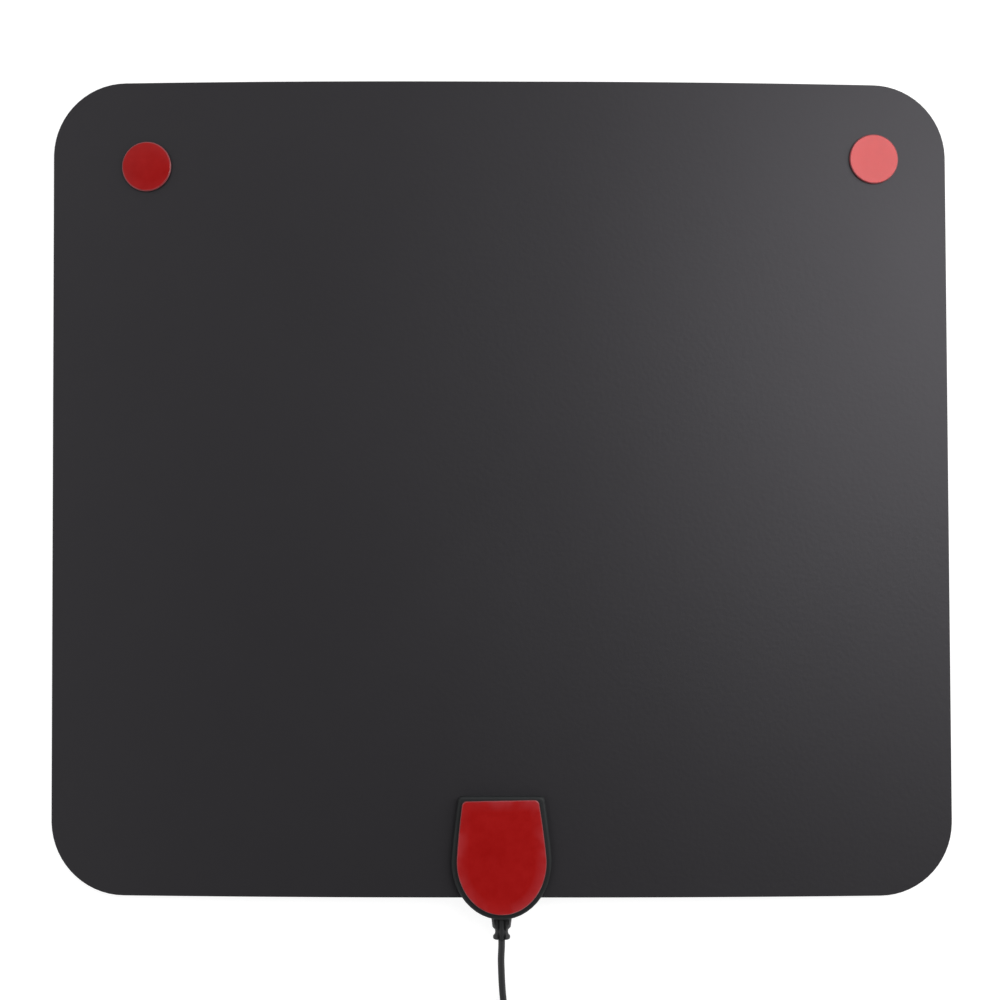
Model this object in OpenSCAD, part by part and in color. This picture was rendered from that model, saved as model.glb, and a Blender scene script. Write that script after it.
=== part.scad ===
// Flat indoor television antenna, lying on its front with its adhesive side up.
// Lengths are in millimetres. X runs across the sheet, Y up the sheet and Z out of its back.
// The origin is on the surface it lies on, under the middle of the antenna without its cord.

/* [Sheet] */
// Width of the sheet
sheet_w = 332; // [260:1:400]
// Height of the sheet
sheet_h = 300; // [240:1:340]
// Radius of the sheet's corners
sheet_corner_r = 27; // [8:1:45]
// Width of the middle band that the box holds flat
sheet_flat_w = 42; // [39:1:80]
// Thickness of the front film
front_film_t = 0.25; // [0.2:0.01:0.5]
// Thickness of the back film, which has the foil let into its underside
back_film_t = 0.35; // [0.25:0.01:0.6]

/* [Foil elements] */
// Thickness of the foil
foil_t = 0.1; // [0.05:0.01:0.15]
// Distance from the sheet's edge to the foil
foil_margin = 14; // [8:0.5:25]
// Width of the track of each foil loop
foil_track_w = 16; // [8:0.5:30]
// Gap between the two foil loops
foil_gap = 6; // [3:0.5:12]
// Height of the foil above the box
foil_box_gap = 7; // [3:0.5:15]
// Outer corner radius of each foil loop
foil_corner_r = 12; // [5:0.5:20]
// Corner radius of the window in each foil loop
foil_window_r = 5; // [2:0.5:10]
// Width of the tab that feeds each loop
feed_tab_w = 6; // [4.5:0.1:8]

/* [Box] */
// Greatest width of the box
box_w = 36.6; // [34:0.1:40]
// Width of the box at its top edge
box_top_w = 31.2; // [30:0.1:33]
// Length of the box
box_len = 44.8; // [42:0.1:50]
// Length of the rounded lower end of the box
box_round_len = 21.1; // [18:0.1:23]
// Corner radius at the top of the box
box_corner_r = 1.6; // [1:0.1:3]
// How far the box stands past the lower edge of the sheet
box_overhang = 7.8; // [6.5:0.1:9]
// Height of the front shell, which lifts the middle of the sheet
front_shell_h = 6.6; // [6.2:0.1:8]
// Height of the back shell
back_shell_h = 2.6; // [2.4:0.1:4]
// Thickness of the shells' side walls
shell_wall = 1.4; // [1:0.1:2]
// Thickness of the front shell's face
front_face_t = 1.4; // [1:0.1:1.6]
// Thickness of the back shell's face
back_face_t = 1.7; // [1.5:0.1:2.2]
// Radius of the rounding along the outer edges of the shells
edge_round = 1; // [0.5:0.1:1.4]
// Gap between the sheet's lower edge and the step in the front shell
sheet_step_gap = 0.15; // [0.05:0.05:0.4]

/* [Screws] */
// Distance of the upper screws from the middle
screw_x_upper = 11.2; // [10.8:0.1:11.6]
// Distance of the upper screws below the top of the box
screw_drop = 5.2; // [4.8:0.1:6]
// Distance of the lower screws from the middle
screw_x_lower = 11; // [9:0.1:11.5]
// Distance of the lower screws above the sheet's lower edge
screw_rise = 7; // [5:0.1:9]
// Diameter of the screw shank
screw_d = 1.8; // [1.6:0.1:2]
// Length of the screw under its head
screw_len = 6.6; // [5:0.1:7]
// Diameter of the screw head
screw_head_d = 3.6; // [3:0.1:3.8]
// Height of the screw head
screw_head_h = 0.9; // [0.6:0.05:1]
// Length of the arms of the cross recess in the screw head
recess_len = 1.6; // [1.2:0.1:2]
// Width of the arms of the cross recess
recess_w = 0.4; // [0.3:0.05:0.6]
// Depth of the cross recess
recess_depth = 0.45; // [0.3:0.05:0.5]
// Diameter of the bosses that take the screws
boss_d = 4.2; // [3.6:0.1:4.4]
// Clearance round the screw where it passes the sheet and the back shell, on the radius
screw_clearance = 0.2; // [0.1:0.05:0.3]
// Clearance between the screw's core and the boss, on the radius
pilot_clearance = 0.03; // [0.02:0.01:0.05]

/* [Circuit board] */
// Width of the circuit board
board_w = 16; // [15:0.1:17]
// Length of the circuit board
board_len = 17; // [16:0.1:19]
// Thickness of the circuit board
board_t = 1; // [0.8:0.1:1.2]
// Distance from the top of the box to the board
board_drop = 3; // [2.4:0.1:4]
// Diameter of the posts that the board rests on
board_rest_d = 2; // [1.6:0.1:2.4]
// Distance of the eyelets from the middle
eyelet_x = 5.3; // [5:0.1:5.6]
// Distance of the eyelets below the top of the board
eyelet_drop = 3.4; // [3:0.1:4]
// Diameter of the eyelet's barrel
eyelet_d = 1.8; // [1.5:0.1:2]
// Diameter of the eyelet's rims
eyelet_rim_d = 3.4; // [3:0.1:3.8]
// Thickness of the eyelet's wall and rims
eyelet_t = 0.25; // [0.15:0.05:0.3]
// Distance from the eyelets down to the middle of the balun core
core_drop = 5.6; // [5.2:0.1:6.4]
// Outer diameter of the balun core
core_od = 6.8; // [6:0.1:7]
// Inner diameter of the balun core
core_id = 3.4; // [3:0.1:3.8]
// Height of the balun core
core_h = 2; // [1.6:0.1:2.2]
// Diameter of the winding wire
winding_d = 0.4; // [0.3:0.05:0.45]
// Number of turns on the balun core
winding_turns = 7; // [4:1:9]
// Angle left free between the last turn and the first
winding_gap = 40; // [20:1:80]
// Length of a chip part
chip_len = 2; // [1.6:0.1:2.4]
// Width of a chip part
chip_w = 1.2; // [0.8:0.1:1.4]
// Height of a chip part
chip_h = 0.7; // [0.4:0.05:0.9]
// Distance from the board's side edge to the middle of the outer chip parts
chip_edge = 1.8; // [1.4:0.1:2]
// Distance from the first chip part down to the third
chip_step = 3.4; // [3:0.1:4]
// How much nearer the middle the third chip part stands
chip_shift = 0.6; // [0:0.1:1]

/* [Adhesive pads] */
// Thickness of the adhesive tape
tape_t = 0.9; // [0.5:0.05:1.5]
// Thickness of the release liner
liner_t = 0.12; // [0.08:0.01:0.2]
// Diameter of the corner pads
pad_d = 18.5; // [14:0.1:24]
// Left pad, distance from the sheet's left edge
pad_left_in = 34.8; // [20:0.1:60]
// Left pad, distance from the sheet's top edge
pad_left_down = 31; // [20:0.1:60]
// Right pad, distance from the sheet's right edge
pad_right_in = 27.4; // [20:0.1:60]
// Right pad, distance from the sheet's top edge
pad_right_down = 28.1; // [20:0.1:60]
// Distance from the box's side and rounded end to the box pad
box_pad_inset = 1.9; // [1.2:0.1:3]
// Distance from the top of the box to the box pad
box_pad_top = 1.4; // [1.2:0.1:3]
// Corner radius at the top of the box pad
box_pad_corner_r = 1.8; // [0.8:0.1:3]
// Turn of the box pad, as it was put on by hand
box_pad_turn = 1; // [0:0.1:2]

/* [Strain relief] */
// Distance from the end of the box to the end of the strain relief
relief_reach = 7.6; // [6:0.1:10]
// Height of the cord's middle where it leaves the box
relief_z = 4.9; // [4.6:0.1:5.2]
// Diameter of the collar against the box
collar_d = 7.4; // [6.8:0.1:7.6]
// Diameter of the collar's far end
collar_end_d = 6.4; // [5.8:0.1:6.6]
// Length of the collar
collar_len = 4.2; // [3.4:0.1:4.6]
// Diameter of the waist
waist_d = 4.7; // [4.2:0.1:5.2]
// Diameter of the end ring
ring_d = 6.2; // [5.8:0.1:6.6]
// Length of the end ring
ring_len = 1.5; // [1.2:0.1:2]
// Chamfer of the end ring
ring_chamfer = 0.4; // [0.2:0.1:0.6]
// Width of the neck that drops into the box's slot
neck_w = 5.2; // [4.8:0.1:5.6]
// Width of the flange inside the box
flange_w = 8; // [7:0.1:8.4]
// Thickness of the flange inside the box
flange_t = 1.2; // [0.8:0.1:1.6]
// Clearance of the neck in its slot, on each side
neck_clearance = 0.05; // [0.03:0.01:0.1]
// Depth of the flat seat for the collar in the box's rounded end
seat_depth = 0.5; // [0.45:0.05:0.8]
// Distance from the end of the box to the inner face of the slotted wall
slot_wall_end = 2.1; // [2:0.1:2.6]
// Length of the two windows beside the cord in the collar
window_len = 1.6; // [1:0.1:2]
// Width of the two windows beside the cord in the collar
window_w = 0.9; // [0.6:0.1:1]
// Distance from the box to the two windows
window_back = 0.8; // [0.6:0.1:1]
// Wall left between the cord and each window
window_wall = 0.2; // [0.15:0.05:0.3]

/* [Cable end] */
// Diameter of the cable's sheath
cord_d = 2.5; // [2.2:0.1:2.8]
// Diameter of the cable's braid
braid_d = 1.9; // [1.7:0.1:2]
// Diameter of the cable's insulation
insulation_d = 1.5; // [1.3:0.05:1.6]
// Diameter of the cable's inner wire
inner_wire_d = 0.5; // [0.4:0.05:0.6]
// Length of sheath left inside the box, past the flange
sheath_in = 10; // [8:0.5:12]
// Length of bare braid past the sheath
braid_bare = 2.4; // [2:0.1:3]
// Length of inner wire under the circuit board
wire_under_board = 3; // [2:0.1:4]
// Distance from the end of the insulation to the circuit board
insulation_short = 0.8; // [0.4:0.1:1.2]
// Diameter of a solder joint where it meets the board
solder_d = 2.2; // [1.8:0.1:2.6]
// Diameter of a solder joint's lower end
solder_tip_d = 1.2; // [1:0.1:1.6]
// Distance of the braid's solder joint from the middle
braid_joint_x = 4.2; // [3.6:0.1:5]
// Distance of the braid's solder joint from the lower edge of the board
braid_joint_in = 2; // [1.4:0.1:3]
// Diameter of the twisted braid tail
braid_tail_d = 0.8; // [0.6:0.05:1]
// Thickness of the ribs that cradle the cable
cradle_t = 1.2; // [0.8:0.1:1.6]
// Width of the ribs that cradle the cable
cradle_w = 7.5; // [6:0.1:9]
// Distance from the flange to the first rib
cradle_start = 2.5; // [1.5:0.1:3]
// Distance from the first rib to the second
cradle_step = 4.5; // [3:0.1:5]

/* [Cord and coil] */
// Diameter at the middle of the coil's turns
coil_mean_d = 48; // [40:0.2:56]
// Turns side by side in the coil
coil_wide = 5; // [4:1:6]
// Turns on top of each other in the coil
coil_high = 4; // [3:1:5]
// Distance from turn to turn
coil_pitch = 2.6; // [2.6:0.02:3]
// Chamfer along the edges of the coil
coil_chamfer = 1; // [0.5:0.1:1.2]
// Thickness of the tie round the coil
tie_t = 0.5; // [0.3:0.05:1]
// Width of the tie round the coil
tie_w = 7; // [4:0.5:10]

/* [Plug] */
// Outside diameter of the plug's sleeve
sleeve_d = 9.52; // [9.4:0.01:9.6]
// Inside diameter of the plug's sleeve
sleeve_bore = 8.4; // [8:0.05:8.6]
// Outside diameter of the sleeve where it sits in the grip
sleeve_seat_d = 9; // [8.8:0.05:9.2]
// Length of the sleeve that stands out of the grip
sleeve_out = 9.5; // [8:0.1:12]
// Length of the sleeve inside the grip
sleeve_in = 6; // [4:0.1:8]
// Diameter of the plug's grip
grip_d = 11; // [10.6:0.1:13]
// Length of the plug's grip
grip_len = 21; // [18:0.5:30]
// Length of the grip's tapered boot
boot_len = 9; // [6:0.5:14]
// Diameter of the boot where the cord enters
boot_end_d = 4.4; // [3.6:0.1:5]
// Chamfer where the boot meets the grip
grip_shoulder = 1; // [0.5:0.1:2]
// Chamfer at the grip's front edge
grip_chamfer = 0.6; // [0.3:0.1:0.9]
// Depth of the finger grooves round the grip
groove_depth = 0.5; // [0.3:0.05:0.8]
// Width of each finger groove
groove_w = 1.2; // [0.8:0.1:1.4]
// Distance from the boot to the first groove
groove_start = 1.8; // [1:0.1:3]
// Distance from groove to groove
groove_step = 2.4; // [2:0.1:3]
// Number of finger grooves
groove_count = 4; // [2:1:5]
// Diameter of the plug's pin
pin_d = 2.4; // [2.3:0.01:2.5]
// How far the pin's tip stops short of the sleeve's rim
pin_short = 0.8; // [0.2:0.1:2]
// Length of the insulator that shows inside the sleeve
insulator_out = 1.5; // [0.5:0.1:3]
// Length of the rounding at the pin's tip
pin_tip = 0.7; // [0.4:0.1:1]

/* [Hidden] */
$fn = 48;
// Small overrun that carries a cut clear of the faces it passes
over = 1;

// Levels, from the surface up
sheet_t = front_film_t + back_film_t;
sheet_top = front_shell_h + sheet_t;
box_top = sheet_top + back_shell_h;
cavity_roof = box_top - back_face_t;
board_low = front_shell_h - board_t;

// Places along the antenna
sheet_mid_y = (box_overhang + relief_reach) / 2;
sheet_low_y = sheet_mid_y - sheet_h / 2;
sheet_high_y = sheet_mid_y + sheet_h / 2;
box_low_y = sheet_low_y - box_overhang;
box_high_y = box_low_y + box_len;
box_mid_y = box_low_y + box_round_len;
relief_end_y = box_low_y - relief_reach;
seat_y = box_low_y + seat_depth;
slot_wall_y = box_low_y + slot_wall_end;
flange_y = slot_wall_y + flange_t;
board_high_y = box_high_y - board_drop;
board_low_y = board_high_y - board_len;
eyelet_y = board_high_y - eyelet_drop;
foil_low_y = box_high_y + foil_box_gap;
foil_high_y = sheet_high_y - foil_margin;

// The sheet arches from the flat middle band down to its side edges
arch_steps = 16;
flat_half = sheet_flat_w / 2;
arch_run = sheet_w / 2 - flat_half;
arch_r = (arch_run * arch_run + front_shell_h * front_shell_h) / (2 * front_shell_h);
function past_flat(x) = max(abs(x) - flat_half, 0);
function arch_z(x) = front_shell_h - arch_r + sqrt(arch_r * arch_r - pow(past_flat(x), 2));
function arch_turn(x) = sign(x) * asin(past_flat(x) / arch_r);
arch_half = [for (i = [0 : arch_steps]) flat_half + arch_run * i / arch_steps];
arch_xs = concat([for (i = [arch_steps : -1 : 0]) -arch_half[i]], arch_half);

// Outline of the box, and of what follows it at an inset
side_taper = (box_w - box_top_w) / 2;
side_bow = 1.3;
side_steps = 6;
end_steps = 24;
corner_steps = 4;
side_run = box_high_y - box_mid_y;
side_lean = atan(side_taper * side_bow / side_run);
function side_x(y, inset) =
  box_w / 2 - inset - side_taper * pow(max(y - box_mid_y, 0) / side_run, side_bow);
function half_side(inset, r, top_inset) = let(
    corner_y = box_high_y - top_inset - r,
    corner_x = side_x(corner_y, inset) - r / cos(side_lean),
    top_y = corner_y + r * sin(side_lean)
  ) concat(
    [for (i = [1 : side_steps - 1]) let(y = box_mid_y + (top_y - box_mid_y) * i / side_steps)
      [side_x(y, inset), y]],
    [for (i = [0 : corner_steps]) let(a = side_lean + (90 - side_lean) * i / corner_steps)
      [corner_x + r * cos(a), corner_y + r * sin(a)]]
  );
function mirrored(points) = [for (p = reversed(points)) [-p[0], p[1]]];
function box_outline(inset, r = box_corner_r, top_inset = undef) = let(
    side = half_side(inset, r, is_undef(top_inset) ? inset : top_inset),
    round_end = [for (i = [0 : end_steps]) let(a = 180 + 180 * i / end_steps)
      [(box_w / 2 - inset) * cos(a), box_mid_y + (box_round_len - inset) * sin(a)]]
  ) concat(round_end, side, mirrored(side));

// Centres of the screws
screw_places = [
  [-screw_x_upper, box_high_y - screw_drop],
  [screw_x_upper, box_high_y - screw_drop],
  [-screw_x_lower, sheet_low_y + screw_rise],
  [screw_x_lower, sheet_low_y + screw_rise]
];

// Balun, hung under the board
core_y = eyelet_y - core_drop;
core_high = board_low - winding_d;
core_low = core_high - core_h;

// Cable end
sheath_end_y = flange_y + sheath_in;
braid_end_y = sheath_end_y + braid_bare;
insulation_end_y = board_low_y - insulation_short;
wire_end_y = board_low_y + wire_under_board;
wire_joint_y = board_low_y + wire_under_board / 2;
braid_joint_y = board_low_y + braid_joint_in;

// Places of the corner pads
pad_left = [-sheet_w / 2 + pad_left_in, sheet_high_y - pad_left_down];
pad_right = [sheet_w / 2 - pad_right_in, sheet_high_y - pad_right_down];

// Route of the cord from the strain relief to the coil, and from the coil to the plug
lead_route = [
  [0, -157.7, 4.9], [0, -160.5, 4.9], [0.2, -165, 4.5], [0.4, -169, 3.8], [0.4, -173, 2.9],
  [0.5, -177, 2.1], [0.7, -181, 1.6], [0.9, -185, 1.4], [1.1, -190, 1.3], [1.2, -196, 1.3],
  [1.2, -202, 1.3], [1.2, -208, 1.3], [1.2, -214, 1.3]
];
tail_route = [
  [-28, -243.2, 9.1], [-33, -243.2, 9.1], [-39, -243.2, 9], [-45, -242.7, 8.3],
  [-50, -241.7, 7.2], [-55, -240.3, 6.1], [-61, -239, 5.5], [-65, -239, 5.5]
];
coil_centre = [-28, -214];
coil_outer_r = coil_mean_d / 2 + coil_wide * coil_pitch / 2;
coil_inner_r = coil_mean_d / 2 - coil_wide * coil_pitch / 2;
coil_h = coil_high * coil_pitch;
tie_angle = 135;
cord_sides = 8;

// Plug, lying beside the coil with its axis along the surface
plug_start = [-65, -239, grip_d / 2];
plug_len = boot_len + grip_len;

// Colours

film_grey = [0.14, 0.14, 0.145];
shell_grey = [0.11, 0.11, 0.115];
liner_red = [0.62, 0.09, 0.09];

// Shapes that several pieces share
module rounded_rect(low, high, r) {
  translate([low[0], low[1] + r]) square([high[0] - low[0], high[1] - low[1] - 2 * r]);
  translate([low[0] + r, low[1]]) square([high[0] - low[0] - 2 * r, high[1] - low[1]]);
  for (x = [low[0] + r, high[0] - r], y = [low[1] + r, high[1] - r]) {
    translate([x, y]) circle(r = r);
  }
}

module arched_slab(low, high) {
  count = len(arch_xs);
  translate([0, sheet_mid_y, 0]) rotate([90, 0, 0])
    linear_extrude(height = sheet_h, center = true)
      polygon(concat(
        [for (x = arch_xs) [x, arch_z(x) + low]],
        [for (i = [count - 1 : -1 : 0]) [arch_xs[i], arch_z(arch_xs[i]) + high]]
      ));
}

module sheet_layer(low, high) {
  intersection() {
    arched_slab(low, high);
    translate([0, 0, -over]) linear_extrude(height = sheet_top + 2 * over)
      rounded_rect([-sheet_w / 2, sheet_low_y], [sheet_w / 2, sheet_high_y], sheet_corner_r);
  }
}

module at_screws() {
  for (p = screw_places) translate([p[0], p[1], 0]) children();
}

module at_eyelets() {
  for (x = [-eyelet_x, eyelet_x]) translate([x, eyelet_y, 0]) children();
}

module sheet_holes() {
  at_screws() translate([0, 0, front_shell_h - over])
    cylinder(d = screw_d + 2 * screw_clearance, h = sheet_t + 2 * over);
  at_eyelets() translate([0, 0, front_shell_h - over])
    cylinder(d = eyelet_d, h = sheet_t + 2 * over);
}

// Solid through box outlines, each level a height and an inset
module box_loft(levels) {
  rings = [for (l = levels) [for (p = box_outline(l[1])) [p[0], p[1], l[0]]]];
  n = len(rings[0]);
  last = len(levels) - 1;
  polyhedron(
    points = [for (ring = rings) each ring],
    faces = concat(
      [[for (i = [0 : n - 1]) i]],
      [[for (i = [n - 1 : -1 : 0]) last * n + i]],
      [for (k = [0 : last - 1], i = [0 : n - 1]) let(j = (i + 1) % n)
        each [[k * n + i, (k + 1) * n + i, (k + 1) * n + j], [k * n + i, (k + 1) * n + j, k * n + j]]]
    )
  );
}

// Heights and insets that round an outer edge, as steps along a quarter circle
function edge_levels(z, up) = [for (a = [90, 60, 30, 0])
  [z + up * edge_round * (1 - sin(a)), edge_round * (1 - cos(a))]];
function reversed(list) = [for (i = [len(list) - 1 : -1 : 0]) list[i]];

// Cylinder along +Y
module along_y(y, z, d, length) {
  translate([0, y, z]) rotate([-90, 0, 0]) cylinder(d = d, h = length);
}

// Rod from one point to another
module rod(from, to, d) {
  v = to - from;
  translate(from) rotate([0, acos(v[2] / norm(v)), atan2(v[1], v[0])]) cylinder(d = d, h = norm(v));
}

// Tube of flat sides swept along a route
function unit(v) = v / norm(v);
function route_way(route, i) = unit(
  route[min(i + 1, len(route) - 1)] - route[max(i - 1, 0)]
);
module swept_cord(route) {
  last = len(route) - 1;
  rings = [for (i = [0 : last]) let(
      way = route_way(route, i),
      side = unit(cross(way, [0, 0, 1])),
      up = cross(side, way)
    ) [for (k = [0 : cord_sides - 1]) let(a = 360 * (k + 0.5) / cord_sides)
      route[i] + cord_d / 2 * (cos(a) * side + sin(a) * up)]];
  polyhedron(
    points = [for (ring = rings) each ring],
    faces = concat(
      [[for (k = [0 : cord_sides - 1]) k]],
      [[for (k = [cord_sides - 1 : -1 : 0]) last * cord_sides + k]],
      [for (i = [0 : last - 1], k = [0 : cord_sides - 1]) let(j = (k + 1) % cord_sides, n = cord_sides)
        each [[i * n + k, (i + 1) * n + k, (i + 1) * n + j], [i * n + k, (i + 1) * n + j, i * n + j]]]
    )
  );
}

// Front film, whose underside lies on the front shell
module front_sheet() {
  color(film_grey) difference() {
    sheet_layer(0, front_film_t);
    sheet_holes();
  }
}

// Back film, with a pocket in its underside for each foil element
module back_sheet() {
  color(film_grey) difference() {
    sheet_layer(front_film_t, sheet_t);
    foil_blank(0);
    mirror([1, 0, 0]) foil_blank(0);
    sheet_holes();
  }
}

// One foil loop with the tab that runs down into the box
module foil_shape() {
  inner_x = foil_gap / 2;
  outer_x = sheet_w / 2 - foil_margin;
  difference() {
    rounded_rect([inner_x, foil_low_y], [outer_x, foil_high_y], foil_corner_r);
    rounded_rect(
      [inner_x + foil_track_w, foil_low_y + foil_track_w],
      [outer_x - foil_track_w, foil_high_y - foil_track_w],
      foil_window_r
    );
  }
  tab_low_y = eyelet_y - feed_tab_w / 2;
  translate([eyelet_x - feed_tab_w / 2, tab_low_y])
    square([feed_tab_w, foil_low_y + foil_track_w - tab_low_y]);
}

// Foil shape up to the foil's upper face, from a given level above the sheet's underside
module foil_blank(low) {
  intersection() {
    arched_slab(low, front_film_t + foil_t);
    linear_extrude(height = sheet_top) foil_shape();
  }
}

module foil_element() {
  difference() {
    foil_blank(front_film_t);
    sheet_holes();
  }
}

module element_left() {
  color("silver") mirror([1, 0, 0]) foil_element();
}

module element_right() {
  color("silver") foil_element();
}

// Front shell: a rounded tray with bosses, board rests, cable cradle and a slot for the strain relief
module front_shell() {
  color(shell_grey) difference() {
    union() {
      difference() {
        box_loft(concat(edge_levels(0, 1), [[sheet_top, 0]]));
        translate([0, 0, front_face_t]) linear_extrude(height = sheet_top) polygon(box_outline(shell_wall));
      }
      intersection() {
        translate([0, 0, front_face_t / 2]) linear_extrude(height = sheet_top - front_face_t / 2)
          polygon(box_outline(shell_wall / 2));
        union() {
          at_screws() cylinder(d = boss_d, h = front_shell_h);
          slot_wall_w = flange_w + 2 * shell_wall;
          translate([-slot_wall_w / 2, box_low_y, 0]) cube([slot_wall_w, slot_wall_end, sheet_top]);
          board_rests();
          cable_cradles();
        }
      }
    }
    sheet_rest_cut();
    at_screws() translate([0, 0, front_face_t])
      cylinder(d = screw_d + 2 * pilot_clearance, h = front_shell_h);
    relief_slot();
    relief_seat();
  }
}

// The part of the front shell above the sheet's underside, where the sheet lies
module sheet_rest_cut() {
  low_y = sheet_low_y - sheet_step_gap;
  translate([-box_w, low_y, front_shell_h]) cube([2 * box_w, box_len, sheet_t + over]);
}

module board_rests() {
  rest_r = board_rest_d / 2;
  for (side = [-1, 1], y = [board_high_y - rest_r, board_low_y + rest_r]) {
    translate([side * (board_w / 2 - rest_r), y, 0]) cylinder(r = rest_r, h = board_low);
  }
}

module cable_cradles() {
  for (y = [flange_y + cradle_start, flange_y + cradle_start + cradle_step]) {
    difference() {
      translate([-cradle_w / 2, y, 0]) cube([cradle_w, cradle_t, relief_z]);
      along_y(y - over, relief_z, cord_d + 2 * neck_clearance, cradle_t + 2 * over);
    }
  }
}

module relief_slot() {
  slot_w = neck_w + 2 * neck_clearance;
  length = slot_wall_end + over;
  along_y(box_low_y - over, relief_z, slot_w, length + over);
  translate([-slot_w / 2, box_low_y - over, relief_z]) cube([slot_w, length + over, box_top]);
}

module relief_seat() {
  reach = seat_depth + over;
  along_y(seat_y - reach, relief_z, collar_d + 2 * neck_clearance, reach);
}

// Back shell: a shallow lid, with counterbores that the box pad covers
module back_shell() {
  head_room = screw_head_h + screw_clearance;
  cavity_h = cavity_roof - sheet_top;
  lid_wall_w = flange_w + 2 * shell_wall;
  color(shell_grey) difference() {
    union() {
      difference() {
        box_loft(concat([[sheet_top, 0]], reversed(edge_levels(box_top, -1))));
        translate([0, 0, sheet_top - over]) linear_extrude(height = cavity_h + over)
          polygon(box_outline(shell_wall));
      }
      intersection() {
        translate([0, 0, sheet_top]) linear_extrude(height = cavity_h + back_face_t / 2)
          polygon(box_outline(shell_wall / 2));
        union() {
          at_screws() cylinder(d = boss_d, h = box_top);
          translate([-lid_wall_w / 2, box_low_y, 0]) cube([lid_wall_w, slot_wall_end, box_top]);
        }
      }
    }
    at_screws() {
      translate([0, 0, sheet_top - over])
        cylinder(d = screw_d + 2 * screw_clearance, h = back_shell_h + 2 * over);
      translate([0, 0, box_top - head_room])
        cylinder(d = screw_head_d + 2 * screw_clearance, h = head_room + over);
    }
    relief_seat();
  }
}

// Four self-tapping screws, driven from the back under the box pad
module shell_screws() {
  seat_z = box_top - screw_head_h - screw_clearance;
  color("dimgray") at_screws() difference() {
    union() {
      translate([0, 0, seat_z]) cylinder(d = screw_head_d, h = screw_head_h);
      translate([0, 0, seat_z - screw_len]) cylinder(d = screw_d, h = screw_len);
    }
    for (turn = [0, 90]) rotate([0, 0, turn])
      translate([-recess_len / 2, -recess_w / 2, seat_z + screw_head_h - recess_depth])
        cube([recess_len, recess_w, recess_depth + over]);
  }
}

// Board that joins the foil elements to the cable through the balun
module circuit_board() {
  color("seagreen") difference() {
    translate([-board_w / 2, board_low_y, board_low]) cube([board_w, board_len, board_t]);
    at_eyelets() translate([0, 0, board_low - over]) cylinder(d = eyelet_d, h = board_t + 2 * over);
  }
}

// Two hollow eyelets that clamp film, foil and board together
module element_eyelets() {
  rim_low = board_low - eyelet_t;
  rim_high = sheet_top + eyelet_t;
  color("goldenrod") at_eyelets() difference() {
    union() {
      translate([0, 0, rim_low]) cylinder(d = eyelet_rim_d, h = eyelet_t);
      translate([0, 0, sheet_top]) cylinder(d = eyelet_rim_d, h = eyelet_t);
      translate([0, 0, rim_low]) cylinder(d = eyelet_d, h = rim_high - rim_low);
    }
    translate([0, 0, rim_low - over])
      cylinder(d = eyelet_d - 2 * eyelet_t, h = rim_high - rim_low + 2 * over);
  }
}

// Section of the balun core, grown by the winding wire where asked
module core_section(grow) {
  translate([core_id / 2 - grow, core_low - grow])
    square([(core_od - core_id) / 2 + 2 * grow, core_h + 2 * grow]);
}

module balun_core() {
  color("dimgray") translate([0, core_y, 0]) rotate_extrude() core_section(0);
}

// Turns of enamelled wire round the core, each one closed
module balun_winding() {
  turn_step = (360 - winding_gap) / (winding_turns - 1);
  color("chocolate") translate([0, core_y, 0]) intersection() {
    difference() {
      rotate_extrude() core_section(winding_d);
      rotate_extrude() core_section(0);
    }
    for (i = [0 : winding_turns - 1]) rotate([0, 0, winding_gap / 2 + turn_step * i])
      translate([0, -winding_d / 2, core_low - over]) cube([core_od, winding_d, core_h + 2 * over]);
  }
}

// Chip parts of the matching network, on the underside of the board
module chip_parts() {
  chip_x = board_w / 2 - chip_edge;
  for (p = [[-chip_x, core_y], [chip_x, core_y], [chip_shift - chip_x, core_y - chip_step]]) {
    color("tan") translate([p[0] - chip_w / 2, p[1] - chip_len / 2, board_low - chip_h])
      cube([chip_w, chip_len, chip_h]);
  }
}

// Sheath of the cable inside the strain relief and the box
module cable_sheath_end() {
  color("black") difference() {
    along_y(relief_end_y, relief_z, cord_d, sheath_end_y - relief_end_y);
    along_y(relief_end_y - over, relief_z, braid_d, sheath_end_y - relief_end_y + 2 * over);
  }
}

// Braid, with its end drawn out to a tail that reaches its solder joint
module cable_braid() {
  color("peru") difference() {
    union() {
      along_y(relief_end_y, relief_z, braid_d, braid_end_y - relief_end_y);
      braid_tail();
    }
    along_y(relief_end_y - over, relief_z, insulation_d, wire_end_y - relief_end_y + 2 * over);
  }
}

module braid_tail() {
  rod([0, braid_end_y - braid_tail_d, relief_z], [braid_joint_x, braid_joint_y, relief_z], braid_tail_d);
}

module cable_insulation() {
  color("white") difference() {
    along_y(relief_end_y, relief_z, insulation_d, insulation_end_y - relief_end_y);
    along_y(relief_end_y - over, relief_z, inner_wire_d, insulation_end_y - relief_end_y + 2 * over);
  }
}

module cable_inner_wire() {
  color("orange") along_y(relief_end_y, relief_z, inner_wire_d, wire_end_y - relief_end_y);
}

// Two solder joints that hang from the board and close round the wire and the braid tail
module solder_joints() {
  drop = board_low - relief_z;
  color("silver") difference() {
    for (p = [[0, wire_joint_y], [braid_joint_x, braid_joint_y]]) {
      translate([p[0], p[1], board_low - 2 * drop])
        cylinder(d1 = solder_tip_d, d2 = solder_d, h = 2 * drop);
    }
    along_y(board_low_y - over, relief_z, inner_wire_d, wire_under_board + over);
    braid_tail();
  }
}

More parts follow.
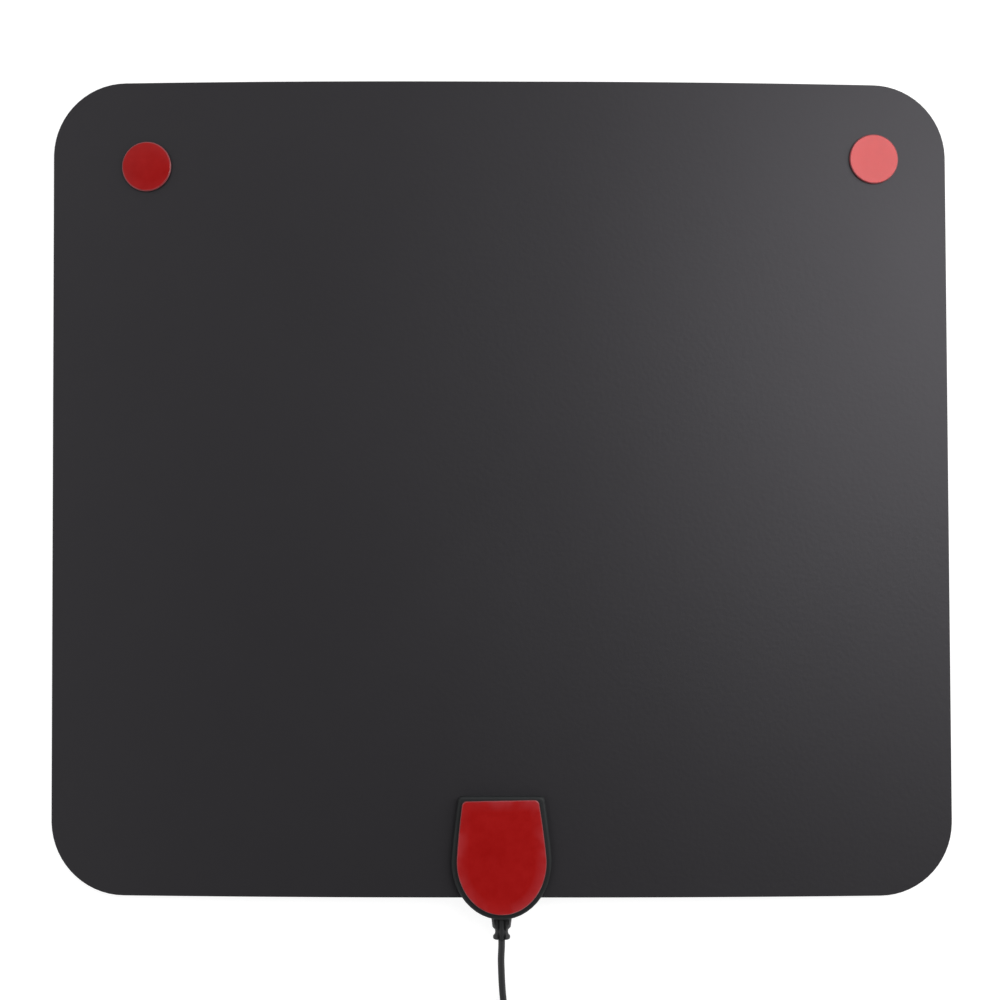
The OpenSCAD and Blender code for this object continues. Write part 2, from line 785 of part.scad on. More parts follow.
// Moulded strain relief: flange and neck in the box, then collar, waist and end ring outside
module strain_relief() {
  whole_len = seat_y - relief_end_y;
  ring_start = whole_len - ring_len;
  waist_flare = (ring_start - collar_len) / 3;
  waist_r = waist_d / 2;
  ring_face_r = ring_d / 2 - ring_chamfer;
  neck_len = slot_wall_y - seat_y;
  flange_low = front_face_t + neck_clearance;
  color(shell_grey) difference() {
    union() {
      translate([0, seat_y, relief_z]) rotate([90, 0, 0]) rotate_extrude() polygon([
        [0, 0], [collar_d / 2, 0], [collar_end_d / 2, collar_len - ring_chamfer],
        [collar_end_d / 2 - ring_chamfer, collar_len], [waist_r, collar_len + waist_flare],
        [waist_r, ring_start - waist_flare], [ring_face_r, ring_start],
        [ring_d / 2, ring_start + ring_chamfer], [ring_d / 2, whole_len - ring_chamfer],
        [ring_face_r, whole_len], [0, whole_len]
      ]);
      intersection() {
        union() {
          along_y(seat_y, relief_z, neck_w, neck_len + flange_t / 2);
          translate([-neck_w / 2, seat_y, relief_z]) cube([neck_w, neck_len + flange_t / 2, box_top]);
        }
        translate([-neck_w, seat_y, 0]) cube([2 * neck_w, neck_len + flange_t, sheet_top]);
      }
      translate([-flange_w / 2, slot_wall_y, flange_low])
        cube([flange_w, flange_t, sheet_top - flange_low]);
    }
    along_y(relief_end_y - over, relief_z, cord_d, flange_y - relief_end_y + 2 * over);
    relief_windows();
  }
}

// Small through windows in the collar, one on each side of the cord
module relief_windows() {
  window_x = cord_d / 2 + window_wall + window_w / 2;
  for (x = [-window_x, window_x]) {
    translate([x - window_w / 2, seat_y - window_back - window_len, relief_z - collar_d])
      cube([window_w, window_len, 2 * collar_d]);
  }
}

// Round pad in its own place on the sheet, turned to the sheet's slope there
module on_slope(place) {
  translate([place[0], place[1], arch_z(place[0]) + sheet_t])
    rotate([0, arch_turn(place[0]), 0]) children();
}

module corner_tape(place) {
  color("whitesmoke") intersection() {
    on_slope(place) translate([0, 0, -over]) cylinder(d = pad_d, h = over + tape_t);
    arched_slab(sheet_t, sheet_t + tape_t + over);
  }
}

module corner_liner(place) {
  color(liner_red) on_slope(place) translate([0, 0, tape_t])
    cylinder(d = pad_d, h = liner_t);
}

module corner_tape_left() {
  corner_tape(pad_left);
}

module corner_tape_right() {
  corner_tape(pad_right);
}

module corner_liner_left() {
  corner_liner(pad_left);
}

module corner_liner_right() {
  corner_liner(pad_right);
}

// Pad on the box, turned a little about the box's middle
module box_pad(low, high) {
  middle = [0, (box_low_y + box_high_y) / 2, 0];
  translate(middle) rotate([0, 0, box_pad_turn]) translate([0, 0, low] - middle)
    linear_extrude(height = high - low)
      polygon(box_outline(box_pad_inset, box_pad_corner_r, box_pad_top));
}

module box_tape() {
  color("whitesmoke") box_pad(box_top, box_top + tape_t);
}

module box_liner() {
  color(liner_red) box_pad(box_top + tape_t, box_top + tape_t + liner_t);
}

// Cord from the strain relief to the coil
module cord_lead() {
  color("black") swept_cord(lead_route);
}

// Cord from the coil to the plug
module cord_tail() {
  color("black") swept_cord(tail_route);
}

module coil_section(inset) {
  low = [coil_inner_r + inset, inset];
  high = [coil_outer_r - inset, coil_h - inset];
  c = coil_chamfer;
  polygon([
    [low[0] + c, low[1]], [high[0] - c, low[1]], [high[0], low[1] + c], [high[0], high[1] - c],
    [high[0] - c, high[1]], [low[0] + c, high[1]], [low[0], high[1] - c], [low[0], low[1] + c]
  ]);
}

module tie_wrap() {
  intersection() {
    difference() {
      rotate_extrude() coil_section(0);
      rotate_extrude() coil_section(tie_t);
    }
    rotate([0, 0, tie_angle]) translate([0, -tie_w / 2, -over])
      cube([2 * coil_outer_r, tie_w, coil_h + 2 * over]);
  }
}

// Wound bundle as one solid, with a channel where the cord joins it at each end of the winding
module cord_coil() {
  channel_len = coil_outer_r;
  color("black") translate([coil_centre[0], coil_centre[1], 0]) difference() {
    rotate_extrude() coil_section(0);
    tie_wrap();
    translate([coil_outer_r - coil_pitch, 0, -over])
      cube([2 * coil_pitch, channel_len, coil_pitch + over]);
    translate([-channel_len, -coil_outer_r - coil_pitch, coil_h - coil_pitch])
      cube([channel_len, 2 * coil_pitch, coil_pitch + over]);
  }
}

module coil_tie() {
  color("gray") translate([coil_centre[0], coil_centre[1], 0]) tie_wrap();
}

// Places a piece that was turned about +Z along the plug's axis, distances from the boot's end
module along_plug(distance) {
  translate(plug_start) rotate([0, -90, 0]) translate([0, 0, distance]) children();
}

// Moulded grip with a tapered boot, finger grooves and a socket for the sleeve
module plug_grip() {
  grip_r = grip_d / 2;
  color("black") along_plug(0) difference() {
    rotate_extrude() difference() {
      polygon([
        [0, 0], [boot_end_d / 2, 0], [grip_r - grip_shoulder, boot_len - grip_shoulder],
        [grip_r, boot_len], [grip_r, plug_len - grip_chamfer],
        [grip_r - grip_chamfer, plug_len], [0, plug_len]
      ]);
      for (i = [0 : groove_count - 1]) {
        translate([grip_r - groove_depth, boot_len + groove_start + i * groove_step])
          square([groove_depth + over, groove_w]);
      }
    }
    translate([0, 0, plug_len - sleeve_in]) cylinder(d = sleeve_seat_d, h = sleeve_in + over);
  }
}

// Turned metal sleeve, whose shoulder butts against the grip
module plug_sleeve() {
  color("lightgray") along_plug(plug_len - sleeve_in) difference() {
    union() {
      cylinder(d = sleeve_seat_d, h = sleeve_in + sleeve_out / 2);
      translate([0, 0, sleeve_in]) cylinder(d = sleeve_d, h = sleeve_out);
    }
    translate([0, 0, -over]) cylinder(d = sleeve_bore, h = sleeve_in + sleeve_out + 2 * over);
  }
}

module plug_insulator() {
  color("white") along_plug(plug_len - sleeve_in) difference() {
    cylinder(d = sleeve_bore, h = sleeve_in + insulator_out);
    translate([0, 0, -over]) cylinder(d = pin_d, h = sleeve_in + insulator_out + 2 * over);
  }
}

module plug_pin() {
  pin_len = sleeve_in + sleeve_out - pin_short;
  tip_step = pin_tip / 3;
  color("gold") along_plug(plug_len - sleeve_in) rotate_extrude() polygon([
    [0, 0], [pin_d / 2, 0], [pin_d / 2, pin_len - pin_tip], [pin_d / 2 - tip_step, pin_len - tip_step],
    [pin_d / 2 - pin_tip, pin_len], [0, pin_len]
  ]);
}

front_sheet();
back_sheet();
element_left();
element_right();
front_shell();
back_shell();
shell_screws();
circuit_board();
element_eyelets();
balun_core();
balun_winding();
chip_parts();
cable_sheath_end();
cable_braid();
cable_insulation();
cable_inner_wire();
solder_joints();
strain_relief();
corner_tape_left();
corner_tape_right();
corner_liner_left();
corner_liner_right();
box_tape();
box_liner();
cord_lead();
cord_coil();
cord_tail();
coil_tie();
plug_grip();
plug_sleeve();
plug_insulator();
plug_pin();
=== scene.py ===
"""Looks of a flat indoor television antenna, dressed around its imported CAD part.

Lengths are in metres in the part's own frame: X runs across the sheet, Y up the sheet and Z out
of its back, with the surface it lies on at Z 0.
"""

import logging
import math
from dataclasses import dataclass, field
from enum import Enum
from functools import cache
from typing import Callable, Iterable, Sequence

import bmesh
import bpy
from mathutils import Matrix, Vector


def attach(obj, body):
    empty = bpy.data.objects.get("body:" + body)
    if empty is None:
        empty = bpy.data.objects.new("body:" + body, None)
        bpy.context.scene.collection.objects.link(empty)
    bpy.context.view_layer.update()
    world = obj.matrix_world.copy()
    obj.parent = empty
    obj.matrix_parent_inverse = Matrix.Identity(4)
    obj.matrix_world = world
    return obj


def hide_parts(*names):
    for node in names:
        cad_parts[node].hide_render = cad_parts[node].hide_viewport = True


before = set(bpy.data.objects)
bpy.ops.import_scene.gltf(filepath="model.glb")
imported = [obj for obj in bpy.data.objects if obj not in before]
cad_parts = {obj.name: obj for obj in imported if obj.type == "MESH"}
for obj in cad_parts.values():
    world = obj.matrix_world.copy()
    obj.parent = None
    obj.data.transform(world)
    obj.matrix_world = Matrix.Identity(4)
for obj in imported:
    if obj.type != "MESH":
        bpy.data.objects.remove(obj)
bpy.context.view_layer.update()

log = logging.getLogger("antenna")
MM = 0.001
BODY = "root"
AXIS_GAP = 0.02
SHARP_ANGLE = 40.0
FLAT_ANGLE = 0.5
MERGE_DISTANCE = 0.000001
NOISE_RANGE = (0.3, 0.7)
FINE_TONE_SCALE = 7.3
FINE_TONE_SHARE = 0.4
BROAD_GRAIN_SCALE = 0.03
WEAR_SCALE = 9
WEAR_POINTINESS = (0.52, 0.6)
WEAR_BREAKS = (0.4, 0.7)
WAVE_LENGTH = 0.31
Colour = tuple[float, float, float]
Flat = tuple[float, float]
Place = tuple[float, float, float]
Mesh = bpy.types.Mesh
Node = bpy.types.Node
Nodes = bpy.types.NodeTree
Piece = bpy.types.Object
Socket = bpy.types.NodeSocket


# Node trees

class Tree:
    """Short calls that add and join the nodes of one node tree."""

    def __init__(self, tree: Nodes) -> None:
        """Takes over a tree and empties it."""
        self.tree = tree
        tree.nodes.clear()

    def node(self, kind: str, inputs: dict | None = None, **settings: object) -> Node:
        """Adds one node.

        Args:
            kind: Blender's name of the node type.
            inputs: a value or a socket for each input, by the input's name or number.
            settings: properties of the node itself.

        Returns:
            The new node.
        """
        made = self.tree.nodes.new(kind)
        for name, value in settings.items():
            setattr(made, name, value)
        for key, value in (inputs or {}).items():
            if isinstance(value, Socket):
                self.tree.links.new(value, made.inputs[key])
            else:
                made.inputs[key].default_value = value
        return made

    def math(self, operation: str, *values: object) -> Socket:
        """Adds a math node.

        Args:
            operation: Blender's name of the operation.
            values: numbers or sockets, in order.

        Returns:
            The socket that holds the result.
        """
        return self.node("ShaderNodeMath", dict(enumerate(values)), operation=operation).outputs[0]

    def noise(self, place: Socket, scale: object, detail: float) -> Socket:
        """Adds a noise texture and returns its value."""
        inputs = {"Vector": place, "Scale": scale, "Detail": detail}
        return self.node("ShaderNodeTexNoise", inputs).outputs["Fac"]

    def ramp(self, value: Socket, start: float, end: float, low: object = 0.0, high: object = 1.0) -> Socket:
        """Maps a range of values to another, held at its ends, and returns the result."""
        inputs = {0: value, 1: start, 2: end, 3: low, 4: high}
        return self.node("ShaderNodeMapRange", inputs, clamp=True).outputs[0]

    def mix(self, factor: Socket, first: object, second: Colour) -> Socket:
        """Blends a colour socket to a plain colour by a mask, and returns the result's socket."""
        return self.node(
            "ShaderNodeMix", {"Factor": factor, 6: first, 7: (*second, 1.0)}, data_type="RGBA"
        ).outputs[2]

    def dressed(self, geometry: Socket, material: Socket) -> None:
        """Ends a geometry tree with its instances made real and its material set."""
        real = self.node("GeometryNodeRealizeInstances", {"Geometry": geometry}).outputs[0]
        whole = self.node("GeometryNodeSetMaterial", {"Geometry": real, "Material": material}).outputs[0]
        self.node("NodeGroupOutput", {"Mesh": whole})

    def group(self, tree: Nodes, inputs: dict) -> Node:
        """Places a shader group with its inputs given by name, and returns the new group node."""
        return self.node("ShaderNodeGroup", inputs, node_tree=tree)


def new_group(name: str, kind: str, inputs: dict[str, str], outputs: dict[str, str]) -> Tree:
    """Starts a node group with named sockets.

    Args:
        name: the group's name.
        kind: ShaderNodeTree or GeometryNodeTree.
        inputs: socket type of each input, by name.
        outputs: socket type of each output, by name.

    Returns:
        The group's tree, still empty.
    """
    made = bpy.data.node_groups.new(name, kind)
    for way, sockets in (("INPUT", inputs), ("OUTPUT", outputs)):
        for label, socket in sockets.items():
            made.interface.new_socket(name=label, in_out=way, socket_type=f"NodeSocket{socket}")
    return Tree(made)


# Shader effects that several finishes share

@cache
def tone_group() -> Nodes:
    """Makes the group that mottles a colour softly, and returns it."""
    tree = new_group(
        "soft_tone", "ShaderNodeTree",
        {"Vector": "Vector", "Dark": "Color", "Light": "Color", "Scale": "Float"},
        {"Color": "Color"},
    )
    given = tree.node("NodeGroupInput").outputs
    broad = tree.noise(given["Vector"], given["Scale"], 2.0)
    fine = tree.noise(given["Vector"], tree.math("MULTIPLY", given["Scale"], FINE_TONE_SCALE), 3.0)
    rest = tree.math("MULTIPLY", broad, 1.0 - FINE_TONE_SHARE)
    mask = tree.ramp(tree.math("MULTIPLY_ADD", fine, FINE_TONE_SHARE, rest), *NOISE_RANGE)
    colours = {"Factor": mask, 6: given["Dark"], 7: given["Light"]}
    mixed = tree.node("ShaderNodeMix", colours, data_type="RGBA")
    tree.node("NodeGroupOutput", {"Color": mixed.outputs[2]})
    return tree.tree


@cache
def grain_group() -> Nodes:
    """Makes the group that gives a fine grain as a height and a roughness, and returns it."""
    tree = new_group(
        "fine_grain", "ShaderNodeTree",
        {"Vector": "Vector", "Scale": "Float", "Rough low": "Float", "Rough high": "Float"},
        {"Height": "Float", "Roughness": "Float"},
    )
    given = tree.node("NodeGroupInput").outputs
    grain = tree.noise(given["Vector"], given["Scale"], 3.0)
    broad = tree.noise(given["Vector"], tree.math("MULTIPLY", given["Scale"], BROAD_GRAIN_SCALE), 4.0)
    rough = tree.ramp(broad, *NOISE_RANGE, given["Rough low"], given["Rough high"])
    tree.node("NodeGroupOutput", {"Height": grain, "Roughness": rough})
    return tree.tree


@cache
def wear_group() -> Nodes:
    """Makes the group that finds rubbed edges, broken up by noise, and returns it."""
    tree = new_group(
        "edge_wear", "ShaderNodeTree",
        {"Vector": "Vector", "Scale": "Float", "Amount": "Float"},
        {"Mask": "Float"},
    )
    given = tree.node("NodeGroupInput").outputs
    edge = tree.ramp(tree.node("ShaderNodeNewGeometry").outputs["Pointiness"], *WEAR_POINTINESS)
    broken = tree.ramp(tree.noise(given["Vector"], given["Scale"], 4.0), *WEAR_BREAKS)
    worn = tree.math("MULTIPLY", tree.math("MULTIPLY", edge, broken), given["Amount"])
    tree.node("NodeGroupOutput", {"Mask": worn})
    return tree.tree


# Finishes

def linear(*screen: int) -> Colour:
    """Turns red, green and blue screen values of 0 to 255 into linear light."""
    return tuple(
        v / 12.92 if v <= 0.04045 else ((v + 0.055) / 1.055) ** 2.4 for v in (c / 255 for c in screen)
    )


class Slot(Enum):
    """The record's material slots."""

    SHEET_FILM = "sheet_film"
    FOIL = "foil"
    BOX_SHELL = "box_shell"
    SCREW_STEEL = "screw_steel"
    BOARD = "board"
    EYELET_BRASS = "eyelet_brass"
    FERRITE = "ferrite"
    ENAMELLED_WIRE = "enamelled_wire"
    CHIP = "chip"
    CORD_SHEATH = "cord_sheath"
    BRAID = "braid"
    INSULATION = "insulation"
    INNER_WIRE = "inner_wire"
    SOLDER = "solder"
    RELIEF_PLASTIC = "relief_plastic"
    CLEAR_TAPE = "clear_tape"
    RED_LINER = "red_liner"
    TIE = "tie"
    PLUG_PLASTIC = "plug_plastic"
    PLUG_METAL = "plug_metal"
    PLUG_WHITE = "plug_white"


@dataclass(frozen=True)
class Finish:
    """A mottled, grained surface, rubbed a little along its edges.

    Scales are in cells a metre, and the grain's height is in metres.
    """

    slot: Slot
    dark: Colour
    light: Colour
    tone_scale: float = 60.0
    rough: Flat = (0.4, 0.5)
    grain_scale: float = 2500.0
    grain_height: float = 0.00002
    wear: float = 0.0
    worn: Colour = (0.2, 0.2, 0.2)
    shader: dict[str, object] = field(default_factory=dict)

    def height(self, tree: Tree, place: Socket, grain: Node) -> Socket:
        """Gives the height that the bump follows, here the grain's own."""
        return grain.outputs["Height"]

    def colour(self, tree: Tree, place: Socket, tone: Node) -> Socket:
        """Adds edge wear to the mottled colour.

        Args:
            tree: the material's tree.
            place: object coordinates.
            tone: the group node of the mottled colour.

        Returns:
            The colour socket for the shader.
        """
        if not self.wear:
            return tone.outputs["Color"]
        given = {"Vector": place, "Scale": self.tone_scale * WEAR_SCALE, "Amount": self.wear}
        rubbed = tree.group(wear_group(), given).outputs["Mask"]
        return tree.mix(rubbed, tone.outputs["Color"], self.worn)

    def material(self) -> bpy.types.Material:
        """Builds the material once, and returns it."""
        name = f"{self.slot.value}_finish"
        known = bpy.data.materials.get(name)
        if known:
            return known
        made = bpy.data.materials.new(name)
        made.use_nodes = True
        tree = Tree(made.node_tree)
        place = tree.node("ShaderNodeTexCoord").outputs["Object"]
        tone = tree.group(tone_group(), {
            "Vector": place, "Scale": self.tone_scale,
            "Dark": (*self.dark, 1.0), "Light": (*self.light, 1.0),
        })
        grain = tree.group(grain_group(), {
            "Vector": place, "Scale": self.grain_scale,
            "Rough low": self.rough[0], "Rough high": self.rough[1],
        })
        bump = tree.node("ShaderNodeBump", {
            "Height": self.height(tree, place, grain), "Distance": self.grain_height, "Strength": 1.0,
        })
        shader = tree.node("ShaderNodeBsdfPrincipled", {
            "Base Color": self.colour(tree, place, tone),
            "Roughness": grain.outputs["Roughness"],
            "Normal": bump.outputs[0],
            **self.shader,
        })
        tree.node("ShaderNodeOutputMaterial", {"Surface": shader.outputs[0]})
        return made


@dataclass(frozen=True)
class WovenFinish(Finish):
    """A surface whose height is a fine weave, of threads that lie across one another."""

    thread: float = 0.0004
    lay: Place = (0.0, 0.6, math.pi / 4)

    def height(self, tree: Tree, place: Socket, grain: Node) -> Socket:
        """Crosses two sets of threads.

        Args:
            tree: the material's tree.
            place: object coordinates.
            grain: the group node of the grain.

        Returns:
            The height of the weave.
        """
        waves = []
        for direction in ("X", "Y"):
            turned = tree.node("ShaderNodeMapping", {"Vector": place, "Rotation": self.lay}).outputs[0]
            given = {"Vector": turned, "Scale": WAVE_LENGTH / self.thread, "Distortion": 0.4}
            waves.append(tree.node("ShaderNodeTexWave", given, bands_direction=direction).outputs["Fac"])
        return tree.math("MULTIPLY", *waves)


@dataclass(frozen=True)
class LinerFinish(Finish):
    """Glossy red release film, paler along its cut rim. This is partly the edge's own colour and partly a
    painted sheen that fades inwards in patches.
    """

    # rim is the pale colour of the cut edge and of the painted sheen along it.
    rim: Colour = (0.4, 0.1, 0.1)
    wave_scale: float = 90.0
    patch_scale: float = 130.0
    patch_edge: Flat = (0.4, 0.6)
    patch_low: float = 0.25

    def colour(self, tree: Tree, place: Socket, tone: Node) -> Socket:
        """Blends the red in patches to the rim's colour by the mesh's own rim attribute, which holds the pale
        cut edge and the painted sheen inside it.

        Args:
            tree: the material's tree.
            place: object coordinates.
            tone: the group node of the mottled colour.

        Returns:
            The colour socket for the shader.
        """
        rim = tree.node("ShaderNodeAttribute", attribute_name="rim").outputs["Fac"]
        patches = tree.ramp(tree.noise(place, self.patch_scale, 2.0), *self.patch_edge, self.patch_low)
        return tree.mix(tree.math("MULTIPLY", rim, patches), tone.outputs["Color"], self.rim)

    def height(self, tree: Tree, place: Socket, grain: Node) -> Socket:
        """Gives the slow waves of film that lies on soft adhesive."""
        return tree.noise(place, self.wave_scale, 1.0)


@dataclass(frozen=True)
class TapeFinish(Finish):
    """Clear tape, pale from above, with painted shade on its upright sides."""

    # side is the colour of the shade painted on the tape's upright faces.
    side: Colour = (0.02, 0.005, 0.005)
    leaning: Flat = (0.2, 0.6)

    def colour(self, tree: Tree, place: Socket, tone: Node) -> Socket:
        """Paints shade on the faces that stand upright.

        Args:
            tree: the material's tree.
            place: object coordinates.
            tone: the group node of the mottled colour.

        Returns:
            The colour socket for the shader.
        """
        normal = tree.node("ShaderNodeNewGeometry").outputs["Normal"]
        up = tree.node("ShaderNodeSeparateXYZ", {0: normal}).outputs["Z"]
        return tree.mix(tree.ramp(up, *self.leaning, 1.0, 0.0), tone.outputs["Color"], self.side)


@dataclass(frozen=True)
class BoardFinish(Finish):
    """Green solder mask over etched tracks."""

    track: Colour = (0.05, 0.2, 0.08)
    track_scale: float = 330.0
    track_edge: Flat = (0.36, 0.4)

    def colour(self, tree: Tree, place: Socket, tone: Node) -> Socket:
        """Draws the tracks as a pattern of square cells.

        Args:
            tree: the material's tree.
            place: object coordinates.
            tone: the group node of the mottled colour.

        Returns:
            The colour socket for the shader.
        """
        cells = tree.node(
            "ShaderNodeTexVoronoi", {"Vector": place, "Scale": self.track_scale}, distance="CHEBYCHEV"
        ).outputs["Distance"]
        return tree.mix(tree.ramp(cells, *self.track_edge), tone.outputs["Color"], self.track)


METAL = {"Metallic": 1.0}
SHEET_FILM = Finish(
    Slot.SHEET_FILM, linear(29, 28, 30), linear(31, 30, 32), tone_scale=14.0,
    rough=(0.47, 0.485), grain_scale=600.0, grain_height=0.00004,
    shader={"Specular Tint": (0.96, 0.93, 1.0, 1.0)},
)
SHELL_PLASTIC = Finish(
    Slot.BOX_SHELL, linear(26, 28, 29), linear(32, 34, 35), tone_scale=90.0,
    rough=(0.5, 0.58), grain_scale=3200.0, grain_height=0.00001,
    wear=0.15, worn=linear(56, 57, 59), shader={"Specular IOR Level": 0.25},
)
RELIEF_PLASTIC = Finish(
    Slot.RELIEF_PLASTIC, linear(32, 32, 33), linear(44, 44, 45), tone_scale=260.0,
    rough=(0.5, 0.58), grain_scale=3000.0, grain_height=0.00001,
    shader={"Specular IOR Level": 0.3},
)
CORD_SHEATH = Finish(
    Slot.CORD_SHEATH, linear(38, 38, 39), linear(46, 46, 47), tone_scale=120.0,
    rough=(0.46, 0.54), grain_scale=2600.0, grain_height=0.000012,
    shader={"Specular IOR Level": 0.35},
)
# Its rim colour is the pale cut edge, also used for the painted sheen along it.
RED_LINER = LinerFinish(
    Slot.RED_LINER, linear(153, 17, 16), linear(166, 27, 26), tone_scale=45.0,
    rough=(0.1, 0.15), grain_height=0.000004, rim=linear(178, 70, 76),
    shader={
        "Specular IOR Level": 0.68, "Specular Tint": (1.0, 0.02, 0.03, 1.0),
        "Coat Weight": 0.9, "Coat Roughness": 0.05,
    },
)
# The tape's side colour is painted shade on its upright faces.
CLEAR_TAPE = TapeFinish(
    Slot.CLEAR_TAPE, linear(124, 46, 50), linear(140, 58, 62), tone_scale=300.0,
    rough=(0.3, 0.45), grain_scale=2000.0, side=linear(54, 12, 18),
)
FOIL = Finish(
    Slot.FOIL, linear(170, 170, 172), linear(200, 200, 201), rough=(0.25, 0.4),
    grain_scale=400.0, grain_height=0.00003, shader=METAL,
)
SCREW_STEEL = Finish(
    Slot.SCREW_STEEL, linear(110, 112, 116), linear(140, 142, 146), tone_scale=400.0,
    rough=(0.25, 0.4), shader=METAL,
)
BOARD = BoardFinish(
    Slot.BOARD, linear(20, 80, 40), linear(28, 96, 50), tone_scale=150.0, track=linear(60, 140, 80)
)
BRASS = Finish(
    Slot.EYELET_BRASS, linear(190, 160, 90), linear(214, 184, 110), tone_scale=400.0,
    rough=(0.2, 0.35), shader=METAL,
)
FERRITE = Finish(
    Slot.FERRITE, linear(50, 50, 54), linear(66, 66, 70), tone_scale=500.0, rough=(0.5, 0.7)
)
ENAMEL = Finish(
    Slot.ENAMELLED_WIRE, linear(150, 70, 30), linear(176, 90, 42), tone_scale=500.0,
    rough=(0.2, 0.3), shader={"Metallic": 0.6, "Coat Weight": 0.6},
)
CHIP = Finish(Slot.CHIP, linear(150, 126, 92), linear(172, 146, 110), tone_scale=900.0)
BRAID = WovenFinish(
    Slot.BRAID, linear(176, 112, 74), linear(206, 140, 98), tone_scale=500.0,
    rough=(0.3, 0.4), grain_height=0.0001, shader=METAL,
)
INSULATION = Finish(
    Slot.INSULATION, linear(222, 222, 216), linear(236, 236, 230), rough=(0.35, 0.45)
)
INNER_WIRE = Finish(
    Slot.INNER_WIRE, linear(196, 118, 72), linear(220, 140, 92), tone_scale=500.0,
    rough=(0.2, 0.3), shader=METAL,
)
SOLDER = Finish(
    Slot.SOLDER, linear(170, 172, 176), linear(200, 202, 206), tone_scale=500.0,
    rough=(0.2, 0.35), shader=METAL,
)
TIE = WovenFinish(
    Slot.TIE, linear(34, 34, 36), linear(50, 50, 52), tone_scale=300.0, rough=(0.7, 0.85),
    grain_height=0.0002, thread=0.0007, shader={"Sheen Weight": 0.3},
)
PLUG_PLASTIC = Finish(
    Slot.PLUG_PLASTIC, linear(34, 34, 35), linear(44, 44, 45), tone_scale=150.0,
    rough=(0.4, 0.5), grain_scale=3000.0, wear=0.3, worn=linear(84, 84, 86),
)
PLUG_METAL = Finish(
    Slot.PLUG_METAL, linear(186, 187, 190), linear(206, 207, 210), tone_scale=200.0,
    rough=(0.16, 0.28), grain_height=0.000008, shader=METAL,
)
PLUG_WHITE = Finish(
    Slot.PLUG_WHITE, linear(226, 226, 222), linear(238, 238, 234), rough=(0.3, 0.4)
)


# Meshes

def hosted(name: str, data: bpy.types.ID) -> Piece:
    """Puts data into the scene as an object.

    Args:
        name: the object's name.
        data: its mesh, curve, light or camera.

    Returns:
        The new object.
    """
    made = bpy.data.objects.new(name, data)
    bpy.context.scene.collection.objects.link(made)
    return made


def add_piece(name: str, data: bpy.types.ID, finish: Finish, *nodes: str) -> Piece:
    """Puts a finished mesh or curve into the scene as a piece of the antenna.

    Args:
        name: the piece's name.
        data: its mesh or curve, placed in the part's frame.
        finish: its finish.
        nodes: the CAD nodes that it stands for.

    Returns:
        The new object.
    """
    piece = hosted(name, data)
    data.materials.clear()
    data.materials.append(finish.material())
    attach(piece, BODY)
    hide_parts(*nodes)
    log.info("made %s", name)
    return piece


def smooth(mesh: Mesh, sharp_angle: float = SHARP_ANGLE) -> Mesh:
    """Shades a mesh smooth except across edges sharper than an angle in degrees."""
    mesh.polygons.foreach_set("use_smooth", [True] * len(mesh.polygons))
    mesh.set_sharp_from_angle(angle=math.radians(sharp_angle))
    return mesh


def bands(rings: int, count: int, closed: bool) -> list[tuple[int, ...]]:
    """Gives the faces that join each ring of points to the next.

    Args:
        rings: how many rings there are.
        count: points in each ring.
        closed: whether the last ring joins the first as well.

    Returns:
        The point numbers of each face.
    """
    made = []
    for k in range(rings if closed else rings - 1):
        low, high = k * count, (k + 1) % rings * count
        for i in range(count):
            j = (i + 1) % count
            made.append((low + i, low + j, high + j, high + i))
    return made


def loft(name: str, rings: Sequence[Sequence[Vector]]) -> Mesh:
    """Skins closed rings of equal count into a closed solid.

    Args:
        name: the mesh's name.
        rings: points of each ring, anticlockwise seen from the last ring.

    Returns:
        The mesh, shaded smooth.
    """
    count = len(rings[0])
    ends = [tuple(reversed(range(count))), tuple((len(rings) - 1) * count + i for i in range(count))]
    mesh = bpy.data.meshes.new(name)
    mesh.from_pydata([p for ring in rings for p in ring], [], ends + bands(len(rings), count, False))
    return smooth(mesh)


def lathe(name: str, profile: Sequence[Flat], place: Matrix, sides: int = 64) -> Mesh:
    """Turns a profile about +Z and puts it in its place.

    Args:
        name: the mesh's name.
        profile: radius and height of each ring in millimetres, from the lower end up.
        place: where the turned piece goes, in metres.
        sides: points round the piece.

    Returns:
        The mesh.
    """
    turns = [2 * math.pi * i / sides for i in range(sides)]
    rings = [[Vector((r * math.cos(a), r * math.sin(a), z)) * MM for a in turns] for r, z in profile]
    mesh = loft(name, rings)
    mesh.transform(place)
    return mesh


def joined(name: str, meshes: Sequence[Mesh]) -> Mesh:
    """Joins meshes into one, each keeping its own faces.

    Args:
        name: the new mesh's name.
        meshes: the meshes to join, which are removed.

    Returns:
        The joined mesh.
    """
    shape = bmesh.new()
    for mesh in meshes:
        shape.from_mesh(mesh)
        bpy.data.meshes.remove(mesh)
    made = bpy.data.meshes.new(name)
    shape.to_mesh(made)
    shape.free()
    return smooth(made)


def evaluated(host: Piece) -> Mesh:
    """Turns an object and its modifiers into a plain mesh, and removes the object.

    Args:
        host: an object with live modifiers.

    Returns:
        The mesh that the modifiers gave.
    """
    bpy.context.view_layer.update()
    graph = bpy.context.evaluated_depsgraph_get()
    mesh = bpy.data.meshes.new_from_object(host.evaluated_get(graph))
    mesh.name = host.name
    host.modifiers.clear()
    bpy.data.objects.remove(host)
    return mesh


def cut(body: Mesh, cutters: Sequence[Mesh]) -> Mesh:
    """Cuts meshes out of a closed mesh.

    Args:
        body: the mesh to cut.
        cutters: closed meshes to take away.

    Returns:
        The cut mesh.
    """
    host = hosted(body.name, body)
    tools = []
    for number, mesh in enumerate(cutters):
        tool = hosted(f"cutter_{number}", mesh)
        step = host.modifiers.new(tool.name, "BOOLEAN")
        step.operation = "DIFFERENCE"
        step.solver = "EXACT"
        step.object = tool
        tools.append(tool)
    made = evaluated(host)
    for tool in tools:
        bpy.data.objects.remove(tool)
    return smooth(made)


